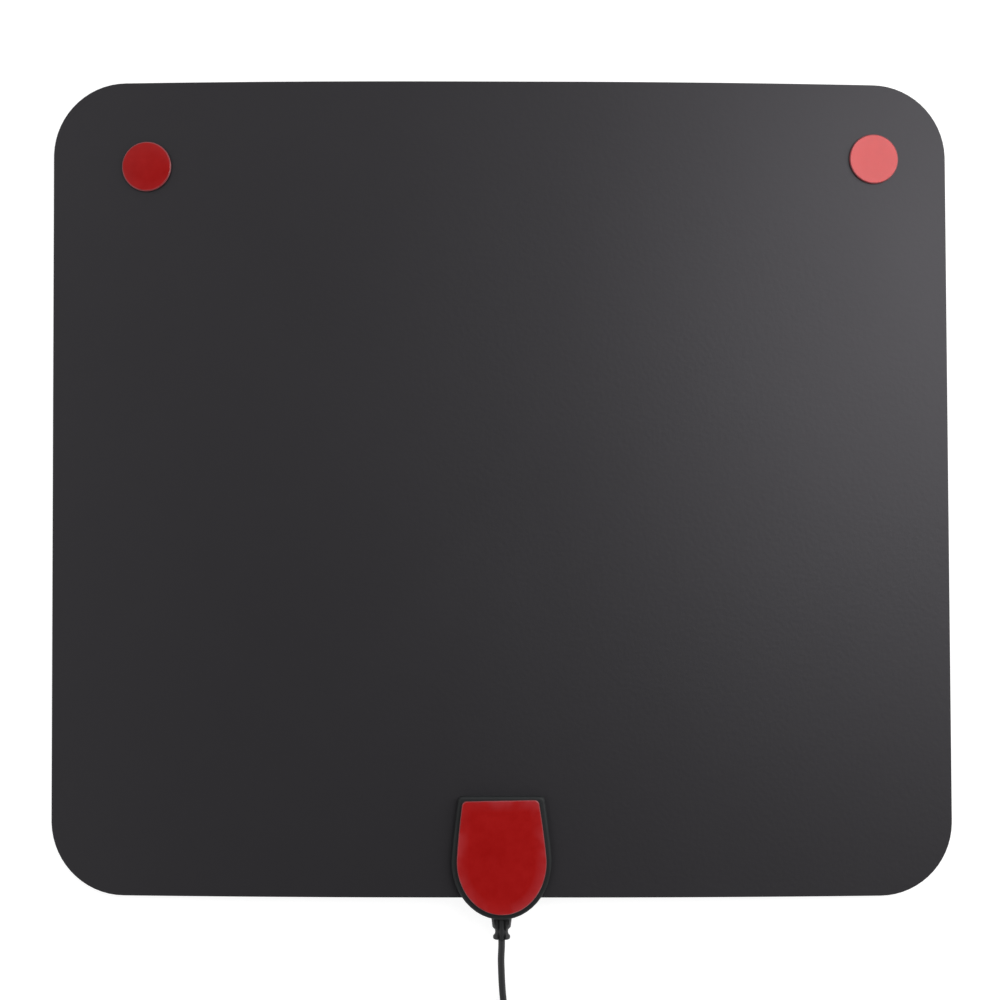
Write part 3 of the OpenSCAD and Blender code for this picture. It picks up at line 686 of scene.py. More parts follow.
def softened(
    name: str, mesh: Mesh, width: float, corner: float, sharp_angle: float = SHARP_ANGLE
) -> Mesh:
    """Rounds a mesh's corners as a mould leaves them.

    Args:
        name: the new mesh's name.
        mesh: the mesh to round.
        width: width of the rounding in millimetres.
        corner: degrees from which an edge is rounded.
        sharp_angle: degrees from which an edge stays sharp.

    Returns:
        The rounded mesh.
    """
    host = hosted(name, mesh)
    step = host.modifiers.new("edges", "BEVEL")
    step.width = width * MM
    step.segments = 2
    step.limit_method = "ANGLE"
    step.angle_limit = math.radians(corner)
    return smooth(evaluated(host), sharp_angle)


def block(low: Sequence[float], high: Sequence[float]) -> Mesh:
    """Makes a box between two corners given in millimetres."""
    ring = [(low[0], low[1]), (high[0], low[1]), (high[0], high[1]), (low[0], high[1])]
    return loft("block", [[Vector((*p, z)) * MM for p in ring] for z in (low[2], high[2])])


def grown(tree: Nodes, inputs: dict[str, object]) -> Mesh:
    """Runs a geometry node tree and returns its result as a plain mesh.

    Args:
        tree: the tree, whose sockets are named.
        inputs: a value for each input, by name.

    Returns:
        The mesh.
    """
    host = hosted(tree.name, bpy.data.meshes.new("seed"))
    step = host.modifiers.new(tree.name, "NODES")
    step.node_group = tree
    known = {s.name: s.identifier for s in tree.interface.items_tree if s.in_out == "INPUT"}
    for name, value in inputs.items():
        step[known[name]] = value
    return evaluated(host)


def copied(node: str) -> Mesh:
    """Copies a CAD node's mesh with its corners merged and its flat areas made whole faces.

    Args:
        node: the CAD node.

    Returns:
        The clean copy.
    """
    shape = bmesh.new()
    shape.from_mesh(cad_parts[node].data)
    bmesh.ops.remove_doubles(shape, verts=shape.verts, dist=MERGE_DISTANCE)
    limit = math.radians(FLAT_ANGLE)
    bmesh.ops.dissolve_limit(shape, angle_limit=limit, verts=shape.verts, edges=shape.edges)
    made = bpy.data.meshes.new(node)
    corners = [v.co.copy() for v in shape.verts]
    shape.verts.index_update()
    made.from_pydata(corners, [], [[v.index for v in f.verts] for f in shape.faces])
    shape.free()
    return smooth(made)


# Studio

@dataclass
class Studio:
    """Floor, lights and camera."""

    floor_size: float = 6.0
    floor_drop: float = 0.0001
    floor_grey: float = 0.3
    floor_glow: float = 0.87
    softbox_place: Place = (0.485, 0.178, 0.5)
    softbox_size: Flat = (0.789, 0.382)
    softbox_radiance: float = 4.0
    ceiling_axis: Place = (0.246, -0.267, 1.0)
    ceiling_edge: Flat = (0.707, 0.766)
    ceiling_level: float = 0.02
    camera_place: Place = (-0.004125, -0.020233, 0.7283)
    camera_turn: Place = (0.0320, -0.0051, -0.0011)
    lens: float = 70.72
    sensor: float = 36.0

    def camera(self) -> None:
        """Stands the camera over the sheet, looking almost straight down."""
        data = bpy.data.cameras.new("camera")
        data.sensor_width = self.sensor
        data.lens = self.lens
        data.clip_start = 0.01
        made = hosted("camera", data)
        made.location = self.camera_place
        made.rotation_euler = self.camera_turn
        bpy.context.scene.camera = made

    def softbox(self) -> None:
        """Hangs the softbox at the upper right, turned to the antenna."""
        data = bpy.data.lights.new("softbox", "AREA")
        data.shape = "RECTANGLE"
        data.size, data.size_y = self.softbox_size
        data.energy = self.softbox_radiance * math.pi * self.softbox_size[0] * self.softbox_size[1]
        made = hosted("softbox", data)
        made.location = self.softbox_place
        back = Vector(self.softbox_place).normalized()
        side = Vector((0.0, 1.0, 0.0)).cross(back).normalized()
        made.rotation_euler = Matrix((side, back.cross(side), back)).transposed().to_euler()
        made.visible_camera = False

    def world(self) -> None:
        """Surrounds the antenna with white walls under a dark ceiling."""
        made = bpy.data.worlds.new("studio")
        made.use_nodes = True
        tree = Tree(made.node_tree)
        ray = tree.node("ShaderNodeTexCoord").outputs["Generated"]
        axis = Vector(self.ceiling_axis).normalized()
        up = tree.node("ShaderNodeVectorMath", {0: ray, 1: axis}, operation="DOT_PRODUCT").outputs["Value"]
        level = tree.ramp(up, *self.ceiling_edge, 1.0, self.ceiling_level)
        back = tree.node("ShaderNodeBackground", {"Color": (1.0, 1.0, 1.0, 1.0), "Strength": level})
        tree.node("ShaderNodeOutputWorld", {"Surface": back.outputs[0]})
        bpy.context.scene.world = made

    def floor(self) -> None:
        """Lays the white floor, which keeps the antenna's shadow."""
        half = self.floor_size / 2
        mesh = bpy.data.meshes.new("floor")
        low = -self.floor_drop
        corners = [(-half, -half, low), (half, -half, low), (half, half, low), (-half, half, low)]
        mesh.from_pydata(corners, [], [(0, 1, 2, 3)])
        paper = bpy.data.materials.new("floor_paper")
        paper.use_nodes = True
        tree = Tree(paper.node_tree)
        grey = self.floor_grey
        lit = tree.node("ShaderNodeBsdfDiffuse", {"Color": (grey, grey, grey, 1.0)})
        glow = tree.node("ShaderNodeEmission", {"Color": (1.0, 1.0, 1.0, 1.0), "Strength": self.floor_glow})
        both = tree.node("ShaderNodeAddShader", {0: lit.outputs[0], 1: glow.outputs[0]})
        mixed = {0: seen_rays(tree), 1: lit.outputs[0], 2: both.outputs[0]}
        shown = tree.node("ShaderNodeMixShader", mixed).outputs[0]
        tree.node("ShaderNodeOutputMaterial", {"Surface": shown})
        mesh.materials.append(paper)
        hosted("floor", mesh)

    def build(self) -> None:
        """Sets up the whole studio."""
        self.camera()
        self.softbox()
        self.world()
        self.floor()
        bpy.context.scene.view_settings.view_transform = "Standard"


def seen_rays(tree: Tree) -> Socket:
    """Gives 1 for rays of the camera, of reflections and of clear materials, and 0 for others."""
    path = tree.node("ShaderNodeLightPath").outputs
    mirrored = tree.math("MAXIMUM", path["Is Glossy Ray"], path["Is Transmission Ray"])
    return tree.math("MAXIMUM", path["Is Camera Ray"], mirrored)


# Cord

def smooth_route(points: Sequence[Sequence[float]], step: float) -> list[Vector]:
    """Runs a smooth curve through the points of a route.

    Args:
        points: the route's points in millimetres.
        step: about how far apart the curve's points are, in millimetres.

    Returns:
        Points along the curve in metres, the route's own among them.
    """
    p = [Vector(q) for q in points]
    p = [2 * p[0] - p[1], *p, 2 * p[-1] - p[-2]]
    made = []
    for a, b, c, d in zip(p, p[1:], p[2:], p[3:]):
        count = max(1, round((c - b).length / step))
        for i in range(count):
            t = i / count
            made.append(0.5 * (2 * b + (c - a) * t + (2 * a - 5 * b + 4 * c - d) * t ** 2
                               + (3 * b - a - 3 * c + d) * t ** 3) * MM)
    return made + [p[-2] * MM]


@dataclass
class Cord:
    """The coaxial cord: out of the box, into a neat coil held by a tie, and on to the plug.

    Under the tie each turn passes into the next, which is called a jog, and the bundle is pinched.
    """

    diameter: float = 2.5
    length: float = 3.0
    exit: Place = (0.0, -157.7, 4.9)
    coil_centre: Flat = (-28.0, -214.0)
    coil_mean_radius: float = 24.0
    pitch: float = 2.6
    wide: int = 5
    high: int = 4
    tie_angle: float = 135.0
    jog_half: float = 12.0
    jog_bulge: float = 0.2
    pinch: float = 0.1
    pinch_end: float = 24.0
    pinch_fade: float = 12.0
    last_turn: float = 90.0
    steps_a_turn: int = 40
    route_step: float = 1.5
    side_steps: int = 6
    lead: tuple = (
        (0, -157.7, 4.9), (0, -160.5, 4.9), (-0.2, -165, 4.5), (-0.1, -169, 3.8), (0.05, -173, 2.9),
        (0.3, -177, 2.1), (0.65, -181, 1.6), (0.9, -185, 1.4), (1.1, -190, 1.3), (1.2, -196, 1.3),
        (1.2, -202, 1.3), (1.2, -208, 1.3), (1.2, -214, 1.3),
    )
    tail: tuple = (
        (-28, -243.2, 9.1), (-33, -243.2, 9.1), (-39, -243.2, 9), (-45, -242.7, 8.3),
        (-50, -241.7, 7.2), (-55, -240.3, 6.1), (-61, -239, 5.5), (-65, -239, 5.5),
    )

    def strand(self, ring: int) -> Flat:
        """Gives the offset from the mean radius and the height of one ring of the winding."""
        layer, turn = divmod(ring, self.wide)
        across = (self.wide - 1) / 2 - turn
        return (across if layer % 2 == 0 else -across) * self.pitch, (layer + 0.5) * self.pitch

    def section(self, travelled: float) -> Flat:
        """Gives the cord's place in the bundle's section.

        Args:
            travelled: degrees wound so far, from the start of the coil.

        Returns:
            Offset from the mean radius, and height.
        """
        first_jog = 360 - self.tie_angle
        ring = max(0, math.ceil((travelled - first_jog - self.jog_half) / 360))
        here = self.strand(ring)
        into = (travelled - (first_jog + 360 * ring)) / (2 * self.jog_half) + 0.5
        if into <= 0 or ring + 1 >= self.wide * self.high:
            return here
        there = self.strand(ring + 1)
        share = min(into, 1.0)
        ease = share * share * (3 - 2 * share)
        if here[1] == there[1]:
            return here[0] + (there[0] - here[0]) * ease, here[1]
        bulge = math.copysign(math.sin(math.pi * ease) * self.jog_bulge * self.pitch, here[0])
        return here[0] + bulge, here[1] + (there[1] - here[1]) * ease

    def coil(self) -> list[Vector]:
        """Winds the coil, clockwise seen from above, and returns its points in metres."""
        made = []
        total = 360 * (self.wide * self.high - 1) + self.last_turn
        count = round(total / 360 * self.steps_a_turn)
        middle = self.high * self.pitch / 2
        for i in range(1, count):
            travelled = total * i / count
            across, height = self.section(travelled)
            from_tie = abs((travelled + self.tie_angle + 180) % 360 - 180)
            near_tie = max(0.0, min(1.0, (self.pinch_end - from_tie) / self.pinch_fade))
            squeeze = 1 - self.pinch * near_tie
            radius = self.coil_mean_radius + across * squeeze
            angle = math.radians(-travelled)
            made.append(Vector((
                self.coil_centre[0] + radius * math.cos(angle),
                self.coil_centre[1] + radius * math.sin(angle),
                middle + (height - middle) * squeeze,
            )) * MM)
        return made

    def build(self, with_pieces: Iterable[Piece]) -> None:
        """Args:
            with_pieces: the tie and the plug's pieces; not used.
        """
        lead, tail = (smooth_route(route, self.route_step) for route in (self.lead, self.tail))
        points = lead + self.coil() + tail
        run = sum((b - a).length for a, b in zip(points, points[1:]))
        log.info("cord runs %.3f m", run)
        curve = bpy.data.curves.new("cord", "CURVE")
        curve.dimensions = "3D"
        curve.bevel_depth = self.diameter / 2 * MM
        curve.bevel_resolution = self.side_steps
        curve.use_fill_caps = True
        spline = curve.splines.new("POLY")
        spline.points.add(len(points) - 1)
        for point, place in zip(spline.points, points):
            point.co = (*place, 1.0)
        spline.use_smooth = True
        piece = add_piece("cord", curve, CORD_SHEATH, "cord_lead", "cord_coil", "cord_tail")


# Sheet

@dataclass
class FilmSheet:
    """The laminated film sheet, arched over the box and down to its side edges.

    The skew is the slope that its edges lean by, because film warps a little.
    """

    width: float = 332.0
    height: float = 300.0
    corner_radius: float = 27.0
    flat_width: float = 42.0
    rise: float = 6.6
    middle_y: float = 7.7
    front_thickness: float = 0.25
    back_thickness: float = 0.35
    straight_share: float = 0.72
    skew: float = 0.0024
    columns: int = 120
    rows: int = 110

    @property
    def thickness(self) -> float:
        """Gives the thickness of both films together."""
        return self.front_thickness + self.back_thickness

    @property
    def arch_radius(self) -> float:
        """Gives the radius that the sheet's sides curve to."""
        run = (self.width - self.flat_width) / 2
        return (run ** 2 + self.rise ** 2) / (2 * self.rise)

    def tilt(self, x: float) -> float:
        """Gives the sheet's slope at a place across it, as an angle about Y."""
        past = max(abs(x) - self.flat_width / 2, 0.0)
        return math.copysign(math.asin(past / self.arch_radius), x)

    def top(self, x: float) -> float:
        """Gives the height of the sheet's back face at a place across it."""
        radius = self.arch_radius
        past = max(abs(x) - self.flat_width / 2, 0.0)
        return self.rise - radius + math.sqrt(radius ** 2 - past ** 2) + self.thickness

    def tree(self) -> Nodes:
        """Builds the node tree that arches one film and rounds its corners, and returns it."""
        sizes = (
            "Width", "Height", "Corner radius", "Flat width", "Rise", "Middle", "Low", "Thickness",
            "Straight share", "Skew",
        )
        t = new_group(
            "arched_film", "GeometryNodeTree",
            {**{name: "Float" for name in sizes}, "Columns": "Int", "Rows": "Int", "Material": "Material"},
            {"Mesh": "Geometry"},
        )
        given = t.node("NodeGroupInput").outputs
        grid = t.node("GeometryNodeMeshGrid", {
            "Size X": 2.0, "Size Y": 2.0, "Vertices X": given["Columns"], "Vertices Y": given["Rows"],
        })
        at = t.node("ShaderNodeSeparateXYZ", {0: t.node("GeometryNodeInputPosition").outputs[0]}).outputs
        share, corner = given["Straight share"], given["Corner radius"]
        reach = t.math("ABSOLUTE", at["Y"])
        straight = t.math("MINIMUM", t.math("DIVIDE", reach, share), 1.0)
        past_share = t.math("MAXIMUM", t.math("SUBTRACT", reach, share), 0.0)
        turned = t.math("DIVIDE", past_share, t.math("SUBTRACT", 1.0, share))
        turn = t.math("MULTIPLY", turned, math.pi / 2)
        half_w = t.math("MULTIPLY", given["Width"], 0.5)
        row_w = t.math("MULTIPLY_ADD", corner, t.math("COSINE", turn), t.math("SUBTRACT", half_w, corner))
        x = t.math("MULTIPLY", at["X"], row_w)
        straight_h = t.math("SUBTRACT", t.math("MULTIPLY", given["Height"], 0.5), corner)
        corner_h = t.math("MULTIPLY", corner, t.math("SINE", turn))
        up = t.math("MULTIPLY_ADD", straight, straight_h, corner_h)
        y = t.math("MULTIPLY_ADD", t.math("SIGN", at["Y"]), up, given["Middle"])
        half_flat = t.math("MULTIPLY", given["Flat width"], 0.5)
        past = t.math("MAXIMUM", t.math("SUBTRACT", t.math("ABSOLUTE", x), half_flat), 0.0)
        run = t.math("SUBTRACT", half_w, half_flat)
        squares = t.math("ADD", t.math("POWER", run, 2.0), t.math("POWER", given["Rise"], 2.0))
        radius = t.math("DIVIDE", squares, t.math("MULTIPLY", given["Rise"], 2.0))
        left_over = t.math("SUBTRACT", t.math("POWER", radius, 2.0), t.math("POWER", past, 2.0))
        base = t.math("ADD", t.math("SUBTRACT", given["Rise"], radius), given["Low"])
        z = t.math("ADD", base, t.math("SQRT", left_over))
        from_middle = t.math("SUBTRACT", y, given["Middle"])
        skewed_x = t.math("SUBTRACT", x, t.math("MULTIPLY", given["Skew"], from_middle))
        skewed_y = t.math("SUBTRACT", y, t.math("MULTIPLY", given["Skew"], x))
        place = t.node("ShaderNodeCombineXYZ", {"X": skewed_x, "Y": skewed_y, "Z": z}).outputs[0]
        placed = {"Geometry": grid.outputs["Mesh"], "Position": place}
        lower = t.node("GeometryNodeSetPosition", placed).outputs[0]
        lift = t.node("ShaderNodeCombineXYZ", {"Z": given["Thickness"]}).outputs[0]
        upper = t.node("GeometryNodeExtrudeMesh", {
            "Mesh": lower, "Offset": lift, "Offset Scale": 1.0, "Individual": False,
        })
        under = t.node("GeometryNodeFlipFaces", {"Mesh": lower}).outputs[0]
        both = t.node("GeometryNodeJoinGeometry")
        for socket in (upper.outputs["Mesh"], under):
            t.tree.links.new(socket, both.inputs[0])
        merged = {"Geometry": both.outputs[0], "Distance": MERGE_DISTANCE}
        whole = t.node("GeometryNodeMergeByDistance", merged).outputs[0]
        t.dressed(whole, given["Material"])
        return t.tree

    def build(self) -> None:
        """Makes both films from the one tree."""
        tree = self.tree()
        for name, node, low, thickness in (
            ("film_front", "front_sheet", 0.0, self.front_thickness),
            ("film_back", "back_sheet", self.front_thickness, self.back_thickness),
        ):
            mesh = grown(tree, {
                "Width": self.width * MM, "Height": self.height * MM, "Flat width": self.flat_width * MM,
                "Corner radius": self.corner_radius * MM, "Rise": self.rise * MM, "Low": low * MM,
                "Middle": self.middle_y * MM, "Thickness": thickness * MM, "Rows": self.rows,
                "Straight share": self.straight_share, "Columns": self.columns, "Skew": self.skew,
                "Material": SHEET_FILM.material(),
            })
            add_piece(name, smooth(mesh), SHEET_FILM, node)


# Box

@dataclass
class Housing:
    """The box's two shells, and the outline that its pad follows."""

    width: float = 36.6
    top_width: float = 31.2
    low_y: float = -150.1
    high_y: float = -105.3
    middle_y: float = -129.0
    top: float = 9.8
    bow: float = 1.3
    edge: float = 0.12
    corner_angle: float = 50.0
    round_steps: int = 48
    side_steps: int = 20
    corner_steps: int = 12

    def outline(self, inset: float, corner: float, top_inset: float) -> list[Flat]:
        """Gives the box's outline at an inset.

        Args:
            inset: distance in from the box's side and its rounded end.
            corner: radius of the corners at the top of the box.
            top_inset: distance in from the top of the box.

        Returns:
            Points anticlockwise from the left end of the rounded part, in millimetres.
        """
        half, round_len = self.width / 2 - inset, self.middle_y - self.low_y - inset
        taper, run = (self.width - self.top_width) / 2, self.high_y - self.middle_y
        lean = math.atan(taper * self.bow / run)

        def side(y: float) -> float:
            """Gives the half width at a height above the rounded end."""
            return half - taper * (max(y - self.middle_y, 0.0) / run) ** self.bow

        centre_y = self.high_y - top_inset - corner
        centre_x = side(centre_y) - corner / math.cos(lean)
        right = [
            (half * math.cos(a), self.middle_y + round_len * math.sin(a))
            for a in (-math.pi / 2 * (1 - i / self.round_steps) for i in range(self.round_steps + 1))
        ]
        top_y = centre_y + corner * math.sin(lean)
        for i in range(1, self.side_steps):
            y = self.middle_y + (top_y - self.middle_y) * i / self.side_steps
            right.append((side(y), y))
        for i in range(self.corner_steps + 1):
            a = lean + (math.pi / 2 - lean) * i / self.corner_steps
            right.append((centre_x + corner * math.cos(a), centre_y + corner * math.sin(a)))
        left = [(-x, y) for x, y in reversed(right)]
        return right + left[:-1]

    def build(self) -> None:
        """Dresses the two shells with softened edges."""
        for node, name in (("front_shell", "shell_front"), ("back_shell", "shell_back")):
            add_piece(name, softened(name, copied(node), self.edge, self.corner_angle), SHELL_PLASTIC, node)


# Pads

@dataclass
class Pad:
    """An adhesive pad: a soft clear tape whose edge swells past its red liner.

    The liner is palest on its rim, partly its cut edge's own colour and partly a painted sheen, with a weaker
    painted sheen that fades out towards its middle.
    """

    name: str
    nodes: tuple[str, str]
    outline: Callable[[float], list[Flat]]
    place: Matrix
    tape: float = 0.9
    liner: float = 0.12
    rim: float = 0.4
    rim_fade: float = 0.25
    rim_round: float = 0.04
    rim_top: float = 0.7
    painted_sheen: float = 0.12
    painted_sheen_fade: float = 0.6
    painted_sheen_reach: Flat = (1.5, 4.0)
    swell: tuple[Flat, ...] = ((0.12, 0.0), (0.03, 0.15), (0.0, 0.4), (0.02, 0.65), (0.1, 0.8))
    swell_top: float = 0.7

    def ring(self, inset: float, height: float) -> list[Vector]:
        """Gives the pad's outline at an inset and a height, in metres."""
        return [Vector((x, y, height)) * MM for x, y in self.outline(inset)]

    def build(self) -> None:
        """Makes the tape and the liner."""
        side = [*self.swell, (self.rim * self.swell_top, self.tape)]
        tape = loft(f"{self.name}_tape", [self.ring(inset, z) for inset, z in side])
        top = self.tape + self.liner
        rim, (broad, end) = self.rim, self.painted_sheen_reach
        # Paleness of each ring: the cut edge, then the painted sheen fading inwards.
        steps = [
            (rim, self.tape, 1.0), (rim, top - self.rim_round, 1.0),
            (rim + self.rim_round, top, self.rim_top), (rim + self.rim_fade, top, self.painted_sheen),
            (rim + broad, top, self.painted_sheen * self.painted_sheen_fade), (rim + end, top, 0.0),
        ]
        liner = loft(f"{self.name}_liner", [self.ring(inset, z) for inset, z, _ in steps])
        rim_and_sheen = liner.attributes.new("rim", "FLOAT", "POINT")
        count = len(self.outline(0.0))
        rim_and_sheen.data.foreach_set("value", [value for _, _, value in steps for _ in range(count)])
        for mesh, node, finish in ((tape, self.nodes[0], CLEAR_TAPE), (liner, self.nodes[1], RED_LINER)):
            mesh.transform(self.place)
            add_piece(mesh.name, mesh, finish, node)


def round_outline(radius: float, inset: float, sides: int = 120) -> list[Flat]:
    """Gives a circle's points at an inset, anticlockwise."""
    r = radius - inset
    return [(r * math.cos(a), r * math.sin(a)) for a in (2 * math.pi * i / sides for i in range(sides))]


@dataclass
class Pads:
    """The three adhesive pads."""

    sheet: FilmSheet
    housing: Housing
    corner_diameter: float = 18.5
    left: Flat = (-131.2, 126.7)
    right: Flat = (138.6, 129.6)
    box_inset: float = 1.9
    box_top_inset: float = 1.4
    box_corner: float = 1.8
    box_corner_least: float = 0.3
    box_corner_loss: float = 0.4
    box_turn: float = 1.0

    def corner(self, side: str, at: Flat) -> Pad:
        """Describes one round pad that lies on the sheet's slope."""
        turn = Matrix.Rotation(self.sheet.tilt(at[0]), 4, "Y")
        place = Matrix.Translation(Vector((*at, self.sheet.top(at[0]))) * MM) @ turn
        return Pad(
            f"pad_{side}", (f"corner_tape_{side}", f"corner_liner_{side}"),
            lambda inset: round_outline(self.corner_diameter / 2, inset), place,
        )

    def box(self) -> Pad:
        """Describes the pad on the box, put on a little turned."""
        middle = Vector((0.0, (self.housing.low_y + self.housing.high_y) / 2, 0.0)) * MM
        turn = Matrix.Rotation(math.radians(self.box_turn), 4, "Z")
        lift = Vector((0.0, 0.0, self.housing.top)) * MM
        place = Matrix.Translation(middle + lift) @ turn @ Matrix.Translation(-middle)
        # The box pad's liner gets a stronger painted sheen.
        return Pad("pad_box", ("box_tape", "box_liner"), self.box_outline, place, rim=0.3, painted_sheen=0.38)

    def box_outline(self, inset: float) -> list[Flat]:
        """Gives the box pad's outline at an inset, with corners that tighten inwards."""
        corner = max(self.box_corner - inset * self.box_corner_loss, self.box_corner_least)
        return self.housing.outline(self.box_inset + inset, corner, self.box_top_inset + inset)

    def build(self) -> None:
        """Makes all three pads."""
        for pad in (self.corner("left", self.left), self.corner("right", self.right), self.box()):
            pad.build()


# Strain relief

@dataclass
class StrainRelief:
    """The moulded strain relief, with a ridge along its top that runs on into the cord."""

    seat_y: float = -149.6
    height: float = 4.9
    flat: float = 2.6
    slot_half: float = 1.45
    slot_floor: float = 1.9
    slot_start: float = 0.9
    bore: float = 1.26
    ridge_radius: float = 1.25
    ridge_top: float = 2.5
    ridge_end: tuple[Flat, ...] = ((0.0, 0.7), (0.1, 0.35), (0.4, 0.08))
    window: Flat = (1.2, 1.6)
    window_out: float = 2.1
    window_depth: float = 0.35
    window_lean: float = 24.0
    profile: tuple[Flat, ...] = (
        (AXIS_GAP, 0.0), (3.82, 0.0), (3.8, 0.2), (3.36, 3.6), (3.16, 3.95), (2.8, 4.25), (2.46, 4.65),
        (2.38, 5.1), (2.38, 5.6), (2.48, 6.05), (2.76, 6.45), (3.06, 6.75), (3.14, 7.05), (3.14, 7.6),
        (3.0, 7.92), (2.7, 8.1), (AXIS_GAP, 8.1),
    )
    neck: Place = (2.6, -147.8, 2.3)
    flange: Place = (4.0, -146.8, 1.45)
    roof: float = 7.2
    edge: float = 0.16
    edge_angles: Flat = (42.0, 35.0)
    overlap: float = 0.2
    clear: float = 6.0
    beyond: float = 1.0
    bore_reach: Flat = (-5.0, 10.0)
    body_sides: int = 72
    cord_sides: int = 40

    def turned(self, name: str, profile: Sequence[Flat], lift: float, start: float, sides: int) -> Mesh:
        """Turns a profile about the cord's direction.

        Args:
            name: the mesh's name.
            profile: radius and distance out from the start.
            lift: height of the axis over the cord's.
            start: distance of the profile's start out from the seat.
            sides: points round the piece.

        Returns:
            The mesh in its place.
        """
        at = Vector((0.0, self.seat_y - start, self.height + lift)) * MM
        return lathe(name, profile, Matrix.Translation(at) @ Matrix.Rotation(math.pi / 2, 4, "X"), sides)

    def dimple(self, out: float, lean: float) -> Mesh:
        """Makes the cutter of one shallow window, whose floor leans."""
        half, top = self.window[0] / 2, self.flat
        cutter = block((-half, -self.window[1], -self.window_depth), (half, 0.0, self.clear / 2))
        at = Vector((out, self.seat_y - self.slot_start, self.height + top)) * MM
        cutter.transform(Matrix.Translation(at) @ Matrix.Rotation(math.radians(lean), 4, "Y"))
        return cutter

    def build(self) -> None:
        """Turns the body, flattens it, sets the ridge in it and joins the part inside the box."""
        body = self.turned("relief", self.profile, 0.0, 0.0, self.body_sides)
        start, far = self.seat_y - self.slot_start, self.seat_y - self.profile[-1][1] - self.beyond
        over = self.height + self.clear
        cutters = [
            block((-self.clear, far, self.height + self.flat), (self.clear, self.seat_y + self.beyond, over)),
            block((-self.slot_half, far, self.height + self.slot_floor), (self.slot_half, start, over)),
            self.bore_cutter(),
            self.dimple(-self.window_out, -self.window_lean),
            self.dimple(self.window_out, 0.0),
        ]
        outside = softened("outside", cut(body, cutters), self.edge, *self.edge_angles)
        r, run = self.ridge_radius, self.profile[-1][1] - self.slot_start + self.overlap
        rounded = [(r - less, run - back) for less, back in self.ridge_end]
        crest = [(AXIS_GAP, 0.0), (r, 0.0), *rounded, (AXIS_GAP, run)]
        begin = self.slot_start - self.overlap
        ridge = self.turned("ridge", crest, self.ridge_top - r, begin, self.cord_sides)
        (neck_half, neck_y, neck_low), (flange_half, flange_y, flange_low) = self.neck, self.flange
        neck = block((-neck_half, self.seat_y, neck_low), (neck_half, neck_y, self.roof))
        flange = block((-flange_half, neck_y, flange_low), (flange_half, flange_y, self.roof))
        inside = [cut(part, [self.bore_cutter()]) for part in (neck, flange)]
        add_piece("relief", joined("relief", [outside, ridge, *inside]), RELIEF_PLASTIC, "strain_relief")

    def bore_cutter(self) -> Mesh:
        """Makes the cutter of the cord's bore."""
        start, end = self.bore_reach
        return self.turned("bore", [(self.bore, 0.0), (self.bore, end - start)], 0.0, start, self.cord_sides)


# Plug

